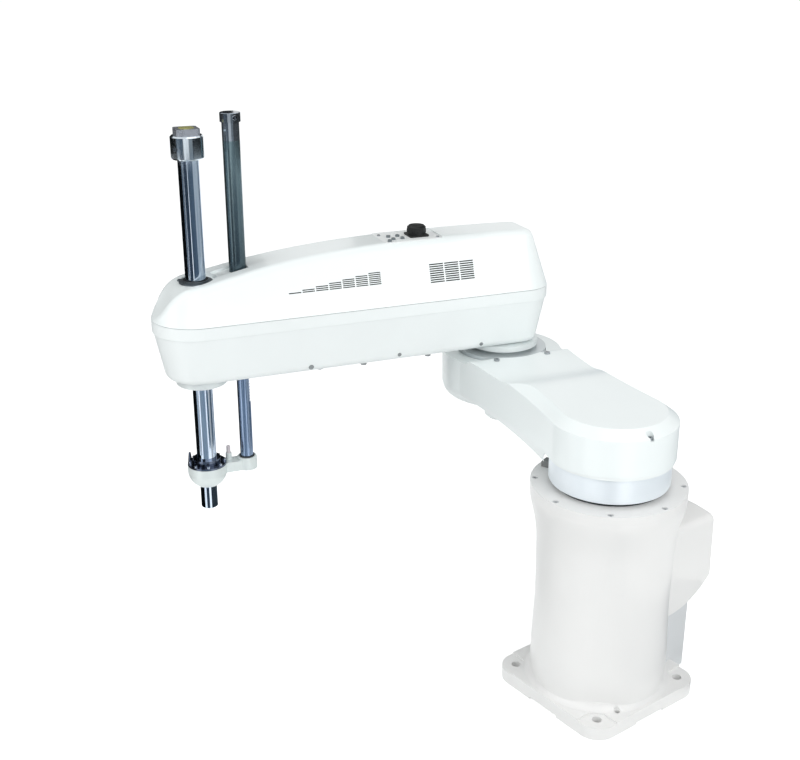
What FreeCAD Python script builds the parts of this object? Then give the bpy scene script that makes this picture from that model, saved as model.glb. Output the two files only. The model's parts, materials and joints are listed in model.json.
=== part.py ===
import FreeCAD, Part
import math
import os

# Four-axis horizontal articulated arm (SCARA), drawn at the joint angles of its rest pose.
# Millimetres. The origin is on the first axis, at the underside of the base plate.
# +Z is up and +X is the front of the base, away from the connector hump.

V = FreeCAD.Vector
Z_AXIS = V(0, 0, 1)

# Reach and rest pose
ARM1_LENGTH = 350.0
ARM2_LENGTH = 500.0
REST_ANGLE_1 = -105.35
REST_ANGLE_2 = 90.0

# Clearances
RUN_GAP = 0.4
FIT_GAP = 0.05
BELT_GAP = 0.35
SEAT_GAP = 0.3

# Base plate
PLATE_HALF = 109.5
PLATE_CORNER_R = 32.0
PLATE_H = 20.0
PLATE_RAISE = 2.5
MOUNT_HALF = 85.0
MOUNT_HOLE_R = 7.0
PAD_SIZE = 40.0
RELIEF_W = 56.0
RELIEF_H = 3.5
RELIEF_DEPTH = 14.0
DOWEL_R = 4.0
DOWEL_X = 51.0
DOWEL_Y = 92.0
DOWEL_SEAT_R = 5.2

# Base column. Its plan is a rounded square turned by 45 degrees that runs out into a circle at both ends.
# Each section: wider than the waist by, corner radius short of a circle by, share of the column's height
COLUMN_TOP_R = 111.4
COLUMN_WAIST = 97.0
COLUMN_SECTIONS = (
    (1.5, 6.5, 0.0),
    (2.0, 11.0, 0.092),
    (1.4, 16.4, 0.295),
    (0.0, 13.0, 0.475),
    (1.3, 8.3, 0.685),
    (4.7, 2.7, 0.839),
    (11.2, 0.7, 0.930),
    (13.8, 0.6, 1.0),
)
COLUMN_FOOT_R = 109.0
COLUMN_FOOT_FILLET = 10.0
COLUMN_FOOT_LIP = 2.8
COLUMN_CORE_R = 80.0
FLANGE_Z = 337.0
FLANGE_H = 12.5
COLUMN_INNER_R = 84.0
COLUMN_FLOOR = 12.0
FLANGE_SCREWS = 8
FLANGE_SCREW_PCD_R = 104.0
FLANGE_SCREW_R = 2.5
FLANGE_SCREW_HEAD_R = 4.25
FLANGE_SCREW_HEAD_H = 5.0
FLANGE_SCREW_LEN = 20.0
FLANGE_SCREW_SINK = 1.0
HEX_SHARE = 0.55

# Rear hump
HUMP_REAR = 177.0
HUMP_HALF_W = 57.0
HUMP_TOP_Z = 252.5
HUMP_CROWN = 6.0
HUMP_SPREAD = 4.0
HUMP_LOW_Z = 110.0
HUMP_EDGE_R = 12.0
HUMP_REAR_R = 6.0
HUMP_INNER_X = 60.0
HUMP_KNEE_X = 86.0
HUMP_KNEE_RISE = 5.0
HUMP_BELLY_X = 140.0
HUMP_BELLY_RISE = 20.0
HUMP_REAR_RISE = 50.0
HUMP_WALL = 7.0
HUMP_WINDOW_HALF = 38.0
HUMP_WINDOW_Z0 = 172.0
HUMP_WINDOW_Z1 = 234.0
CHASE_HALF_W = 50.0
CHASE_REAR = 139.5
CHASE_WALL = 2.0
CHASE_BOTTOM_Z = 3.0
CHASE_TOP_Z = 140.0
CHASE_LAP = 8.0
CONN_PLATE_T = 3.0
CONN_PLATE_MARGIN = 6.0
POWER_CONN_R = 17.0
POWER_CONN_LEN = 15.0
SIGNAL_CONN_R = 12.0
SIGNAL_CONN_LEN = 13.0
BASE_PORT_R = 4.0
BASE_PORT_LEN = 10.0

# First axis
SEAL_H = 6.0
SEAL_R = 77.5
TURNTABLE_R = 86.0
TURNTABLE_TOP_Z = 380.0
TURNTABLE_LIP_H = 2.6
TURNTABLE_LIP_STEP = 1.2
REDUCER1_R = 78.0
REDUCER1_BORE_R = 62.4
REDUCER1_H = 40.0
REDUCER1_FLOOR = 6.0
MOTOR1_SIZE = 86.0
MOTOR1_BODY = 78.0
MOTOR1_LEN = 110.0
MOTOR1_FLANGE_H = 10.0
MOTOR1_CAP = 60.0
MOTOR1_CAP_LEN = 30.0
MOTOR1_SHAFT_R = 9.5
LEDGE_H = 8.0
LEDGE_R = 70.0
STOP_ANGLE = -70.6
STOP_R = 97.0
STOP_L = 15.0
STOP_W = 13.0
STOP_H = 10.0

# First arm. The seam between its casting and its cover falls towards the second axis
ARM1_R = 91.0
ARM1_WAIST_X = ARM1_LENGTH * 0.48
ARM1_WAIST_HALF = 80.5
ARM1_BOSS_R = 97.7
ARM1_CORNER_X = ARM1_LENGTH - 36.0
ARM1_SEAM_Z = 382.5
ARM1_SEAM_END_Z = 371.0
ARM1_BOSS_TOP_Z = 425.0
ARM1_DECK_Z = 433.0
ARM1_CROWN_Z = 450.0
ARM1_STEP_X = ARM1_LENGTH - 68.0
ARM1_STEP_L = 22.0
CROWN_END_X = ARM1_LENGTH * 0.3
DECK_START_X = ARM1_LENGTH * 0.586
ARM1_WALL = 4.0
ARM1_EDGE_R = 11.0
CROWN_BEVEL = 12.5
CROWN_BEVEL_W = 17.0
ARM1_RIM_INSET = 1.6
ARM1_RIM_Z = 366.5
ARM1_FLOOR_T = 12.0
ARM1_BOTTOM_Z = 350.5
ARM1_BOSS_FILLET = 17.0
SERVICE_CAP_X = ARM1_LENGTH - 105.0
SERVICE_CAP_Y = 48.0
SERVICE_CAP_R = 28.0
SERVICE_CAP_CHAMFER = 6.0
ARM1_SCREW_X = ARM1_LENGTH - 74.0
ARM1_SCREW_Y = 45.0
ARM1_REAR_SCREW_X = ARM1_R - 7.0
ARM1_REAR_SCREW_Y = -5.0
ARM1_REAR_SEAT_Z = 436.4
ARM1_SEAT_WALL = 2.6
ARM1_SCREW_HEAD_R = 4.4
ARM1_SCREW_HEAD_H = 3.6
ARM1_SCREW_R = 2.5

# Second axis
REDUCER2_R = 72.0
REDUCER2_BORE_R = 45.4
REDUCER2_TOP_Z = 431.0
COVER1_HOLE_GAP = 1.0
J2_RING_R = 58.0
J2_RING_Z = 436.5
J2_HUB_LEN = 36.0
J2_HUB_BORE_R = 12.0
MOTOR2_SIZE = 60.0
MOTOR2_LEN = 96.0
MOTOR2_FLANGE_H = 8.0
MOTOR2_SHAFT_R = 8.0

# Second arm: plan is a capsule with a rounded rear
ARM2_HALF = 66.0
NOSE_X = ARM2_LENGTH + 2.0
REAR_X = 62.0
REAR_CORNER_R = 46.0
ARM2_BOTTOM_Z = 445.4
RIM_Z = 521.0
SEAM_Z = 538.8
GASKET_T = 1.0
GASKET_INSET = 0.8
RIM_STEP = 1.6
CAST_DRAFT = 0.2
CAST_WALL = 7.0
CAST_FLOOR = 9.6
CAST_FILLET = 14.0
COVER_DRAFT = 0.329
COVER_WALL = 5.0
COVER_TOP_WALL = 6.0
COVER_EDGE_R = 14.0
COVER_TOP_Z = 631.0
COVER_NOSE_Z = 594.0
# Points of the rounded nose: past the shaft by, above the height at the shaft by
COVER_NOSE = ((-30.0, 5.7), (0.0, 0.0), (24.0, -5.0), (38.0, -14.0), (50.0, -27.5), (57.5, -39.0))
COVER_TIP_X = ARM2_LENGTH + 71.5

# Cover vents
VENT_COLS_FRONT = 7
VENT_FRONT_X = ARM2_LENGTH - 124.0
VENT_FRONT_COL = 20.9
VENT_FRONT_BAR = 2.0
VENT_FRONT_Z = 573.2
VENT_FRONT_PITCH = 2.7
VENT_FRONT_SLOT = 1.5
VENT_COLS_REAR = 3
VENT_ROWS_REAR = 9
VENT_REAR_X = 152.0
VENT_REAR_COL = 25.2
VENT_REAR_BAR = 2.2
VENT_REAR_Z = 566.8
VENT_REAR_PITCH = 3.2
VENT_REAR_SLOT = 1.8
VENT_Y0 = 38.0
VENT_Y1 = 80.0

# Connector panel on the cover
PANEL_X0 = 122.5
PANEL_X1 = 216.5
PANEL_HALF = 33.0
PANEL_T = 2.5
PANEL_Z = 629.5
PANEL_R = 5.0
PANEL_SCREW_R = 2.6
PANEL_SCREW_H = 1.6
PANEL_SCREW_SITES = ((128.5, 26.0), (128.5, -27.0), (210.5, -13.0))
ROUND_CONN_X = 154.5
ROUND_CONN_Y = 3.5
ROUND_CONN_FLANGE = 31.0
ROUND_CONN_FLANGE_T = 2.5
ROUND_CONN_R = 14.5
ROUND_CONN_H = 13.5
ROUND_CONN_DOME = 2.5
PORT_R = 3.2
PORT_HOLE_R = 1.7
PORT_H = 3.0
PORT_SITES = ((200.0, 1.0), (185.0, 1.0), (183.0, 17.0), (198.0, 18.0), (207.5, 27.0))

# Nose and spline nut
SHAFT_R = 15.0
NOSE_COLLAR_R = 38.0
NOSE_COLLAR_Z = 434.8
NUT_R = 24.0
NUT_Z0 = 452.0
NUT_Z1 = 580.0
NUT_BEARING_R = 34.0
NUT_BEARING_Z0 = 464.0
NUT_BEARING_Z1 = 500.0
HUB_WALL = 6.0
WIPER_R = 21.0
WIPER_FLANGE_R = 24.5
WIPER_T = 2.2
WIPER_LIP_R = 18.6
WIPER_TAB_L = 7.0
WIPER_TAB_W = 6.0
WIPER_TAB_ANGLE = -35.0
# Sunk seat of the wiper in the cover, with a channel that rises to the guard tube
DISH_R = 31.0
DISH_Z = 590.5
DISH_WALL_Z = 585.0
DISH_MARGIN = 5.0
CHANNEL_HALF = 17.0
CHANNEL_SLOPE = 0.2

# Rotation drive
PULLEY_Z0 = 545.0
PULLEY_Z1 = 563.0
PULLEY_FLANGE = 2.0
PULLEY_FLANGE_H = 2.0
NUT_PULLEY_R = 34.0
MOTOR_PULLEY_R = 32.0
BELT_T = 2.0
MOTOR_T_X = ARM2_LENGTH - 170.0
MOTOR_T_SIZE = 50.0
MOTOR_T_TOP_Z = 536.0
MOTOR_T_SHAFT_R = 6.0

# Lift drive
ROD_OFFSET = 63.0
ROD_R = 10.0
ROD_TOP_Z = 698.0
RACK_MODULE = 1.5
PINION_TEETH = 16
PINION_W = 10.0
PINION_Z = 520.0
PINION_SHAFT_R = 4.0
RACK_Z0 = 392.0
RACK_FLAT = 8.5
PRESSURE_TAN = 0.364
BACKLASH = 0.15
GUIDE_X = 17.0
GUIDE_HALF_Y = 12.8
GUIDE_TOP_Z = 554.0
GUIDE_SPIGOT_R = 13.6
GUIDE_SPIGOT_H = 4.6
MOTOR_Z_R = 20.0
MOTOR_Z_LEN = 36.0
TUBE_R = 12.5
TUBE_WALL = 1.9
TUBE_TOP_Z = 820.0
TUBE_CAP_R = 14.8
TUBE_CAP_Z0 = 818.0
TUBE_CAP_Z1 = 831.0

# Shaft
SHAFT_TOP_Z = 805.0
SHAFT_BORE_R = 8.0
SHAFT_TIP_R = 12.85
SHAFT_TIP_Z = 227.5
SHAFT_STEP_Z = 266.0
SHAFT_CHAMFER = 2.0
SPLINE_GROOVES = 4
SPLINE_GROOVE_R = 2.2
SPLINE_GROOVE_OUT = 0.9
TOP_COLLAR_R = 23.4
TOP_COLLAR_Z0 = 770.0
TOP_COLLAR_Z1 = 803.0
COLLAR_CHAMFER = 2.0
COLLAR_SLIT = 1.2
COLLAR_SCREW_R = 2.5
COLLAR_SCREW_Z = 786.0
TOP_BLOCK_SIDE = 33.0
TOP_BLOCK_CHAMFER = 3.0
TOP_BLOCK_Z1 = 812.5
TOP_PLUG_R = 11.0
TOP_PLUG_T = 2.0

# Lift bracket
BRACKET_R = 30.0
BRACKET_TOP_Z = 300.0
BRACKET_RIM_Z = 288.0
BRACKET_BOTTOM_Z = 267.0
BRACKET_FOOT_R = 17.5
BRACKET_ARM_HALF = 11.0
BRACKET_ARM_Z0 = 284.0
BRACKET_BOSS_R = 15.5
BRACKET_BOSS_TOP_Z = 303.5
BEARING_R = 24.0
BEARING_FLOOR_Z = 277.0
RETAINER_T = 3.0
RETAINER_SCREWS = 8
RETAINER_SCREW_PCD_R = 26.0
RETAINER_SCREW_R = 1.6
RETAINER_HEAD_R = 2.9
RETAINER_HEAD_H = 3.2
LOCK_COLLAR_R = 20.5
LOCK_COLLAR_H = 8.0
BUMPER_R = 3.1
BUMPER_PAD_H = 10.0
BUMPER_H = 12.0
BUMPER_X = 35.4
BUMPER_Y = -6.0
LUG_H = 14.0
LUG_R = 3.2
LUG_OUT = 27.4
LUG_ANGLE = -31.0
ROD_SEAT_T = 3.0

# Underside plugs and circuit board of the second arm
PLUG_SITES = ((324.0, 30.0, 5.0), (255.0, 36.0, 4.8), (147.5, 36.0, 4.6))
PLUG_H = 3.2
# Small dark plugs on the rounded lower edge: along the arm, angle round the edge, radius
EDGE_PLUG_SITES = ((344.0, 70.0, 4.0), (201.4, 76.0, 3.0), (61.9, 74.0, 3.0))
EDGE_PLUG_OUT = 0.9
BOARD_X0 = 70.0
BOARD_X1 = 250.0
BOARD_HALF = 30.0
BOARD_T = 2.0
BOARD_POST_R = 4.0
BOARD_Z = 500.0
BOARD_PARTS = 3
BOARD_PART_W = 24.0
BOARD_PART_H = 9.0

ROD_X = ARM2_LENGTH - ROD_OFFSET
COS1 = math.cos(math.radians(REST_ANGLE_1))
SIN1 = math.sin(math.radians(REST_ANGLE_1))
J2_X = ARM1_LENGTH * COS1
J2_Y = ARM1_LENGTH * SIN1


# Small helpers

def cyl(r, z0, z1, x=0.0, y=0.0):
    return Part.makeCylinder(r, z1 - z0, V(x, y, z0))


def ring(r_out, r_in, z0, z1, x=0.0, y=0.0):
    return cyl(r_out, z0, z1, x, y).cut(cyl(r_in, z0, z1, x, y))


def cone(r0, r1, z0, z1, x=0.0, y=0.0):
    return Part.makeCone(r0, r1, z1 - z0, V(x, y, z0))


def block(x0, x1, y0, y1, z0, z1):
    return Part.makeBox(x1 - x0, y1 - y0, z1 - z0, V(x0, y0, z0))


def fuse(shapes):
    whole = shapes[0].multiFuse(shapes[1:]) if len(shapes) > 1 else shapes[0]
    return whole.removeSplitter()


def group(shapes):
    return Part.makeCompound(shapes)


def biggest(shape):
    return max(shape.Solids, key=lambda s: s.Volume)


def polar(r, degrees):
    a = math.radians(degrees)
    return V(r * math.cos(a), r * math.sin(a), 0)


def prism(points, z0, z1):
    wire = Part.makePolygon([V(x, y, z0) for x, y in points + points[:1]])
    return Part.Face(wire).extrude(V(0, 0, z1 - z0))


def side_prism(points, y0, y1):
    wire = Part.makePolygon([V(x, y0, z) for x, z in points + points[:1]])
    return Part.Face(wire).extrude(V(0, y1 - y0, 0))


def rounded_square_wire(half, r, z, turn=0.0):
    c = half - r
    edges = []
    for k in range(4):
        a = 90.0 * k
        start = polar(1.0, a)
        side = polar(1.0, a + 90.0)
        p0 = start * half - side * c
        p1 = start * half + side * c
        centre = start * c + side * c
        mid = centre + polar(r, a + 45.0)
        p2 = side * half + start * c
        edges.append(Part.LineSegment(p0, p1).toShape())
        edges.append(Part.Arc(p1, mid, p2).toShape())
    wire = Part.Wire(edges)
    wire.rotate(V(0, 0, 0), Z_AXIS, turn)
    wire.translate(V(0, 0, z))
    return wire


def rounded_square(half, r, z0, z1, turn=0.0):
    return Part.Face(rounded_square_wire(half, r, z0, turn)).extrude(V(0, 0, z1 - z0))


def place_arm1(shape):
    shape.rotate(V(0, 0, 0), Z_AXIS, REST_ANGLE_1)
    return shape


def place_arm2(shape):
    shape.rotate(V(0, 0, 0), Z_AXIS, REST_ANGLE_1 + REST_ANGLE_2)
    shape.translate(V(J2_X, J2_Y, 0))
    return shape


def cap_screw(x, y, z, head_r, head_h, shank_r, shank_len):
    head = cyl(head_r, z, z + head_h, x, y)
    corners = [polar(head_r * HEX_SHARE, 60.0 * k) for k in range(6)]
    socket = prism([(x + p.x, y + p.y) for p in corners], z + head_h * HEX_SHARE, z + head_h)
    shank = cyl(shank_r, z - shank_len, z, x, y)
    return fuse([head.cut(socket), shank])


# Base

def column_shape():
    z_low = PLATE_H
    span = FLANGE_Z - FLANGE_H - z_low
    wires = []
    for grow, short, share in COLUMN_SECTIONS:
        half = COLUMN_WAIST + grow
        wires.append(rounded_square_wire(half, half - short, z_low + span * share, 45.0))
    return Part.makeLoft(wires, True)


def column_foot():
    r_out = COLUMN_FOOT_R
    r_in = COLUMN_FOOT_R - COLUMN_FOOT_FILLET
    z_lip = PLATE_H + COLUMN_FOOT_LIP
    z_top = z_lip + COLUMN_FOOT_FILLET
    dip = COLUMN_FOOT_FILLET * math.sqrt(0.5)
    core = COLUMN_CORE_R
    edges = [
        Part.LineSegment(V(core, 0, PLATE_H), V(r_out, 0, PLATE_H)).toShape(),
        Part.LineSegment(V(r_out, 0, PLATE_H), V(r_out, 0, z_lip)).toShape(),
        Part.Arc(V(r_out, 0, z_lip), V(r_out - dip, 0, z_top - dip), V(r_in, 0, z_top)).toShape(),
        Part.LineSegment(V(r_in, 0, z_top), V(core, 0, z_top)).toShape(),
        Part.LineSegment(V(core, 0, z_top), V(core, 0, PLATE_H)).toShape(),
    ]
    return Part.Face(Part.Wire(edges)).revolve(V(0, 0, 0), Z_AXIS, 360.0)


def plate_shape():
    plate = rounded_square(PLATE_HALF, PLATE_CORNER_R, 0, PLATE_H + PLATE_RAISE)
    for sx in (-1, 1):
        for sy in (-1, 1):
            x = sx * (PLATE_HALF - PAD_SIZE / 2)
            y = sy * (PLATE_HALF - PAD_SIZE / 2)
            pad = block(x - PAD_SIZE / 2, x + PAD_SIZE / 2, y - PAD_SIZE / 2, y + PAD_SIZE / 2,
                        PLATE_H, PLATE_H + PLATE_RAISE)
            plate = plate.cut(pad)
    for k in range(4):
        relief = block(PLATE_HALF - RELIEF_DEPTH, PLATE_HALF, -RELIEF_W / 2, RELIEF_W / 2, 0, RELIEF_H)
        relief.rotate(V(0, 0, 0), Z_AXIS, 90.0 * k)
        plate = plate.cut(relief)
    return plate


def hump_profile(inset):
    rear = -(HUMP_REAR - inset)
    z_low = HUMP_LOW_Z + inset
    z_top = HUMP_TOP_Z + HUMP_CROWN + 1.0
    start = V(-HUMP_INNER_X, 0, z_low)
    low = V(-HUMP_KNEE_X, 0, z_low + HUMP_KNEE_RISE)
    mid = V(-HUMP_BELLY_X + inset / 2, 0, z_low + HUMP_BELLY_RISE)
    high = V(rear, 0, z_low + HUMP_REAR_RISE)
    top = V(rear, 0, z_top)
    inner = V(-HUMP_INNER_X, 0, z_top)
    edges = [
        Part.LineSegment(start, low).toShape(),
        Part.Arc(low, mid, high).toShape(),
        Part.LineSegment(high, top).toShape(),
        Part.LineSegment(top, inner).toShape(),
        Part.LineSegment(inner, start).toShape(),
    ]
    return Part.Wire(edges)


def hump_section(inset):
    half = HUMP_HALF_W - inset
    low_half = half + HUMP_SPREAD
    z_low = HUMP_LOW_Z
    z_side = HUMP_TOP_Z - inset
    z_mid = z_side + HUMP_CROWN
    x = -2 * HUMP_REAR
    edges = [
        Part.LineSegment(V(x, -low_half, z_low), V(x, low_half, z_low)).toShape(),
        Part.LineSegment(V(x, low_half, z_low), V(x, half, z_side)).toShape(),
        Part.Arc(V(x, half, z_side), V(x, 0, z_mid), V(x, -half, z_side)).toShape(),
        Part.LineSegment(V(x, -half, z_side), V(x, -low_half, z_low)).toShape(),
    ]
    return Part.Face(Part.Wire(edges)).extrude(V(2 * HUMP_REAR, 0, 0))


def hump_shape(inset):
    half = HUMP_HALF_W + HUMP_SPREAD
    wire = hump_profile(inset)
    wire.translate(V(0, -half, 0))
    return Part.Face(wire).extrude(V(0, 2 * half, 0)).common(hump_section(inset))


def rounded_hump():
    body = hump_shape(0.0)
    sides = []
    for edge in body.Edges:
        box = edge.BoundBox
        if box.XLength > HUMP_INNER_X and box.ZMin > HUMP_TOP_Z - 1.0:
            sides.append(edge)
    body = body.makeFillet(HUMP_EDGE_R, sides)
    rear = []
    for edge in body.Edges:
        box = edge.BoundBox
        if box.XMax < -(HUMP_REAR - 1.0) and box.ZMax > HUMP_LOW_Z + HUMP_REAR_RISE + 1.0:
            rear.append(edge)
    return body.makeFillet(HUMP_REAR_R, rear)


def base_casting():
    body = fuse([plate_shape(), column_shape(), column_foot(),
                 cyl(COLUMN_TOP_R, FLANGE_Z - FLANGE_H, FLANGE_Z), rounded_hump()])
    ledge_z = FLANGE_Z - REDUCER1_H
    cavity = cyl(COLUMN_INNER_R, COLUMN_FLOOR, ledge_z - LEDGE_H)
    hump_room = hump_shape(HUMP_WALL).common(block(-HUMP_REAR, -COLUMN_INNER_R + 12.0, -HUMP_HALF_W,
                                                   HUMP_HALF_W, HUMP_LOW_Z + HUMP_BELLY_RISE,
                                                   HUMP_TOP_Z + HUMP_CROWN))
    window = block(-HUMP_REAR, -HUMP_REAR + 2 * HUMP_WALL, -HUMP_WINDOW_HALF, HUMP_WINDOW_HALF,
                   HUMP_WINDOW_Z0, HUMP_WINDOW_Z1)
    cuts = [cavity, hump_room, window, cyl(LEDGE_R, ledge_z - LEDGE_H, ledge_z),
            cyl(REDUCER1_R, ledge_z, FLANGE_Z)]
    for sx in (-1, 1):
        for sy in (-1, 1):
            cuts.append(cyl(MOUNT_HOLE_R, 0, PLATE_H + PLATE_RAISE, sx * MOUNT_HALF, sy * MOUNT_HALF))
    cuts.append(cyl(DOWEL_R, 0, PLATE_H + PLATE_RAISE, DOWEL_X, DOWEL_Y))
    cuts.append(cyl(DOWEL_SEAT_R, PLATE_H + PLATE_RAISE, PLATE_H + COLUMN_FOOT_FILLET, DOWEL_X, DOWEL_Y))
    for k in range(FLANGE_SCREWS):
        p = polar(FLANGE_SCREW_PCD_R, 360.0 * k / FLANGE_SCREWS)
        cuts.append(cyl(FLANGE_SCREW_HEAD_R + SEAT_GAP, FLANGE_Z - FLANGE_SCREW_HEAD_H - FLANGE_SCREW_SINK,
                        FLANGE_Z, p.x, p.y))
        cuts.append(cyl(FLANGE_SCREW_R, FLANGE_Z - FLANGE_SCREW_LEN, FLANGE_Z, p.x, p.y))
    return biggest(body.cut(Part.makeCompound(cuts)))


def flange_screws():
    screws = []
    for k in range(FLANGE_SCREWS):
        p = polar(FLANGE_SCREW_PCD_R, 360.0 * k / FLANGE_SCREWS)
        deep = FLANGE_SCREW_HEAD_H + FLANGE_SCREW_SINK
        screws.append(cap_screw(p.x, p.y, FLANGE_Z - deep, FLANGE_SCREW_HEAD_R, FLANGE_SCREW_HEAD_H,
                                FLANGE_SCREW_R, FLANGE_SCREW_LEN - deep))
    return group(screws)


def rear_chase(casting):
    x1 = -COLUMN_WAIST + CHASE_LAP
    outer = block(-CHASE_REAR, x1, -CHASE_HALF_W, CHASE_HALF_W, CHASE_BOTTOM_Z, CHASE_TOP_Z)
    inner = block(-CHASE_REAR + CHASE_WALL, x1 + 1.0, -CHASE_HALF_W + CHASE_WALL,
                  CHASE_HALF_W - CHASE_WALL, CHASE_BOTTOM_Z + CHASE_WALL, CHASE_TOP_Z + 1.0)
    under = block(-PLATE_HALF - SEAT_GAP, 0, -CHASE_HALF_W, CHASE_HALF_W, 0, PLATE_H + PLATE_RAISE)
    solid_hump = hump_shape(0.0)
    return biggest(outer.cut(inner).cut(under).cut(solid_hump).cut(casting))


def connector_plate():
    y = HUMP_WINDOW_HALF + CONN_PLATE_MARGIN
    z0 = HUMP_WINDOW_Z0 - CONN_PLATE_MARGIN
    z1 = HUMP_WINDOW_Z1 + CONN_PLATE_MARGIN
    x = -HUMP_REAR
    plate = block(x - CONN_PLATE_T, x, -y, y, z0, z1)
    corner = [e for e in plate.Edges if abs(e.BoundBox.XLength - CONN_PLATE_T) < 0.01]
    plate = plate.makeFillet(CONN_PLATE_MARGIN * HEX_SHARE, corner)
    for r, y_c, z_c in base_connector_sites():
        hole = Part.makeCylinder(r * 0.8, CONN_PLATE_T, V(x, y_c, z_c), V(-1, 0, 0))
        plate = plate.cut(hole)
    return plate


def base_connector_sites():
    mid_z = (HUMP_WINDOW_Z0 + HUMP_WINDOW_Z1) / 2
    return [(POWER_CONN_R, 16.0, mid_z), (SIGNAL_CONN_R, -18.0, mid_z + 12.0),
            (BASE_PORT_R, -11.0, mid_z - 16.0), (BASE_PORT_R, -26.0, mid_z - 16.0)]


def along_rear(r, y, z, x0, length):
    return Part.makeCylinder(r, length, V(x0, y, z), V(-1, 0, 0))


def plate_connector(site, length, flange_share):
    r, y, z = site
    x = -HUMP_REAR - CONN_PLATE_T
    flange = along_rear(r, y, z, x, length * flange_share)
    barrel = along_rear(r * 0.8, y, z, x, length)
    core = along_rear(r * 0.6, y, z, x - length * 0.5, length)
    tail = along_rear(r * 0.8 - SEAT_GAP, y, z, x + CONN_PLATE_T + 6.0, CONN_PLATE_T + 6.0)
    return fuse([fuse([flange, barrel]).cut(core), tail])


def base_ports():
    return group([plate_connector(site, BASE_PORT_LEN, 0.6) for site in base_connector_sites()[2:]])


def plate_screws():
    y = HUMP_WINDOW_HALF + CONN_PLATE_MARGIN * HEX_SHARE
    z0 = HUMP_WINDOW_Z0 - CONN_PLATE_MARGIN * HEX_SHARE
    z1 = HUMP_WINDOW_Z1 + CONN_PLATE_MARGIN * HEX_SHARE
    x = -HUMP_REAR - CONN_PLATE_T
    return group([along_rear(2.4, sy * y, z, x, 2.0) for sy in (-1, 1) for z in (z0, z1)])


# First axis

def j1_reducer():
    z0 = FLANGE_Z - REDUCER1_H
    body = ring(REDUCER1_R, REDUCER1_BORE_R, z0, FLANGE_Z)
    floor = ring(REDUCER1_R, MOTOR1_SHAFT_R + 0.5, z0, z0 + REDUCER1_FLOOR)
    return fuse([body, floor])


def j1_motor():
    z0 = FLANGE_Z - REDUCER1_H
    flange = rounded_square(MOTOR1_SIZE / 2, 8.0, z0 - MOTOR1_FLANGE_H, z0)
    body = rounded_square(MOTOR1_BODY / 2, 10.0, z0 - MOTOR1_LEN, z0 - MOTOR1_FLANGE_H)
    cap = rounded_square(MOTOR1_CAP / 2, 8.0, z0 - MOTOR1_LEN - MOTOR1_CAP_LEN, z0 - MOTOR1_LEN)
    shaft = cyl(MOTOR1_SHAFT_R, z0, z0 + REDUCER1_FLOOR + 2.0)
    return fuse([flange, body, cap, shaft])


def j1_seal():
    return ring(SEAL_R, REDUCER1_BORE_R + 10.0, FLANGE_Z, FLANGE_Z + SEAL_H - RUN_GAP)


def j1_output_hub():
    return cyl(REDUCER1_BORE_R - RUN_GAP, FLANGE_Z - REDUCER1_H + REDUCER1_FLOOR + 3.0, FLANGE_Z + SEAL_H)


def j1_turntable():
    z0 = FLANGE_Z + SEAL_H
    lip = cyl(TURNTABLE_R - TURNTABLE_LIP_STEP, z0, z0 + TURNTABLE_LIP_H)
    body = cyl(TURNTABLE_R, z0 + TURNTABLE_LIP_H, TURNTABLE_TOP_Z)
    return fuse([lip, body])


def calibration_stop():
    stop = block(STOP_R - STOP_W / 2, STOP_R + STOP_W / 2, -STOP_L / 2, STOP_L / 2, FLANGE_Z, FLANGE_Z + STOP_H)
    stop = stop.makeChamfer(1.0, [e for e in stop.Edges if e.BoundBox.ZMin > FLANGE_Z + STOP_H - 0.1])
    stop.rotate(V(0, 0, 0), Z_AXIS, STOP_ANGLE)
    return stop


# First arm, drawn along +X from the first axis to the second

def arm1_outline(inset, z):
    r1 = ARM1_R - inset
    rb = ARM1_BOSS_R - inset
    waist = ARM1_WAIST_HALF - inset
    dx = ARM1_CORNER_X - ARM1_LENGTH
    corner_y = math.sqrt(rb * rb - dx * dx)
    join = polar(r1, 86.0)
    p_join = V(join.x, join.y, 0)
    p_waist = V(ARM1_WAIST_X, waist, 0)
    p_corner = V(ARM1_CORNER_X, corner_y, 0)
    m_join = V(join.x, -join.y, 0)
    m_waist = V(ARM1_WAIST_X, -waist, 0)
    m_corner = V(ARM1_CORNER_X, -corner_y, 0)
    edges = [
        Part.Arc(p_join, V(-r1, 0, 0), m_join).toShape(),
        Part.Arc(m_join, m_waist, m_corner).toShape(),
        Part.Arc(m_corner, V(ARM1_LENGTH + rb, 0, 0), p_corner).toShape(),
        Part.Arc(p_corner, p_waist, p_join).toShape(),
    ]
    wire = Part.Wire(edges)
    wire.translate(V(0, 0, z))
    return wire


def arm1_prism(inset, z0, z1):
    return Part.Face(arm1_outline(inset, z0)).extrude(V(0, 0, z1 - z0))


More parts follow.
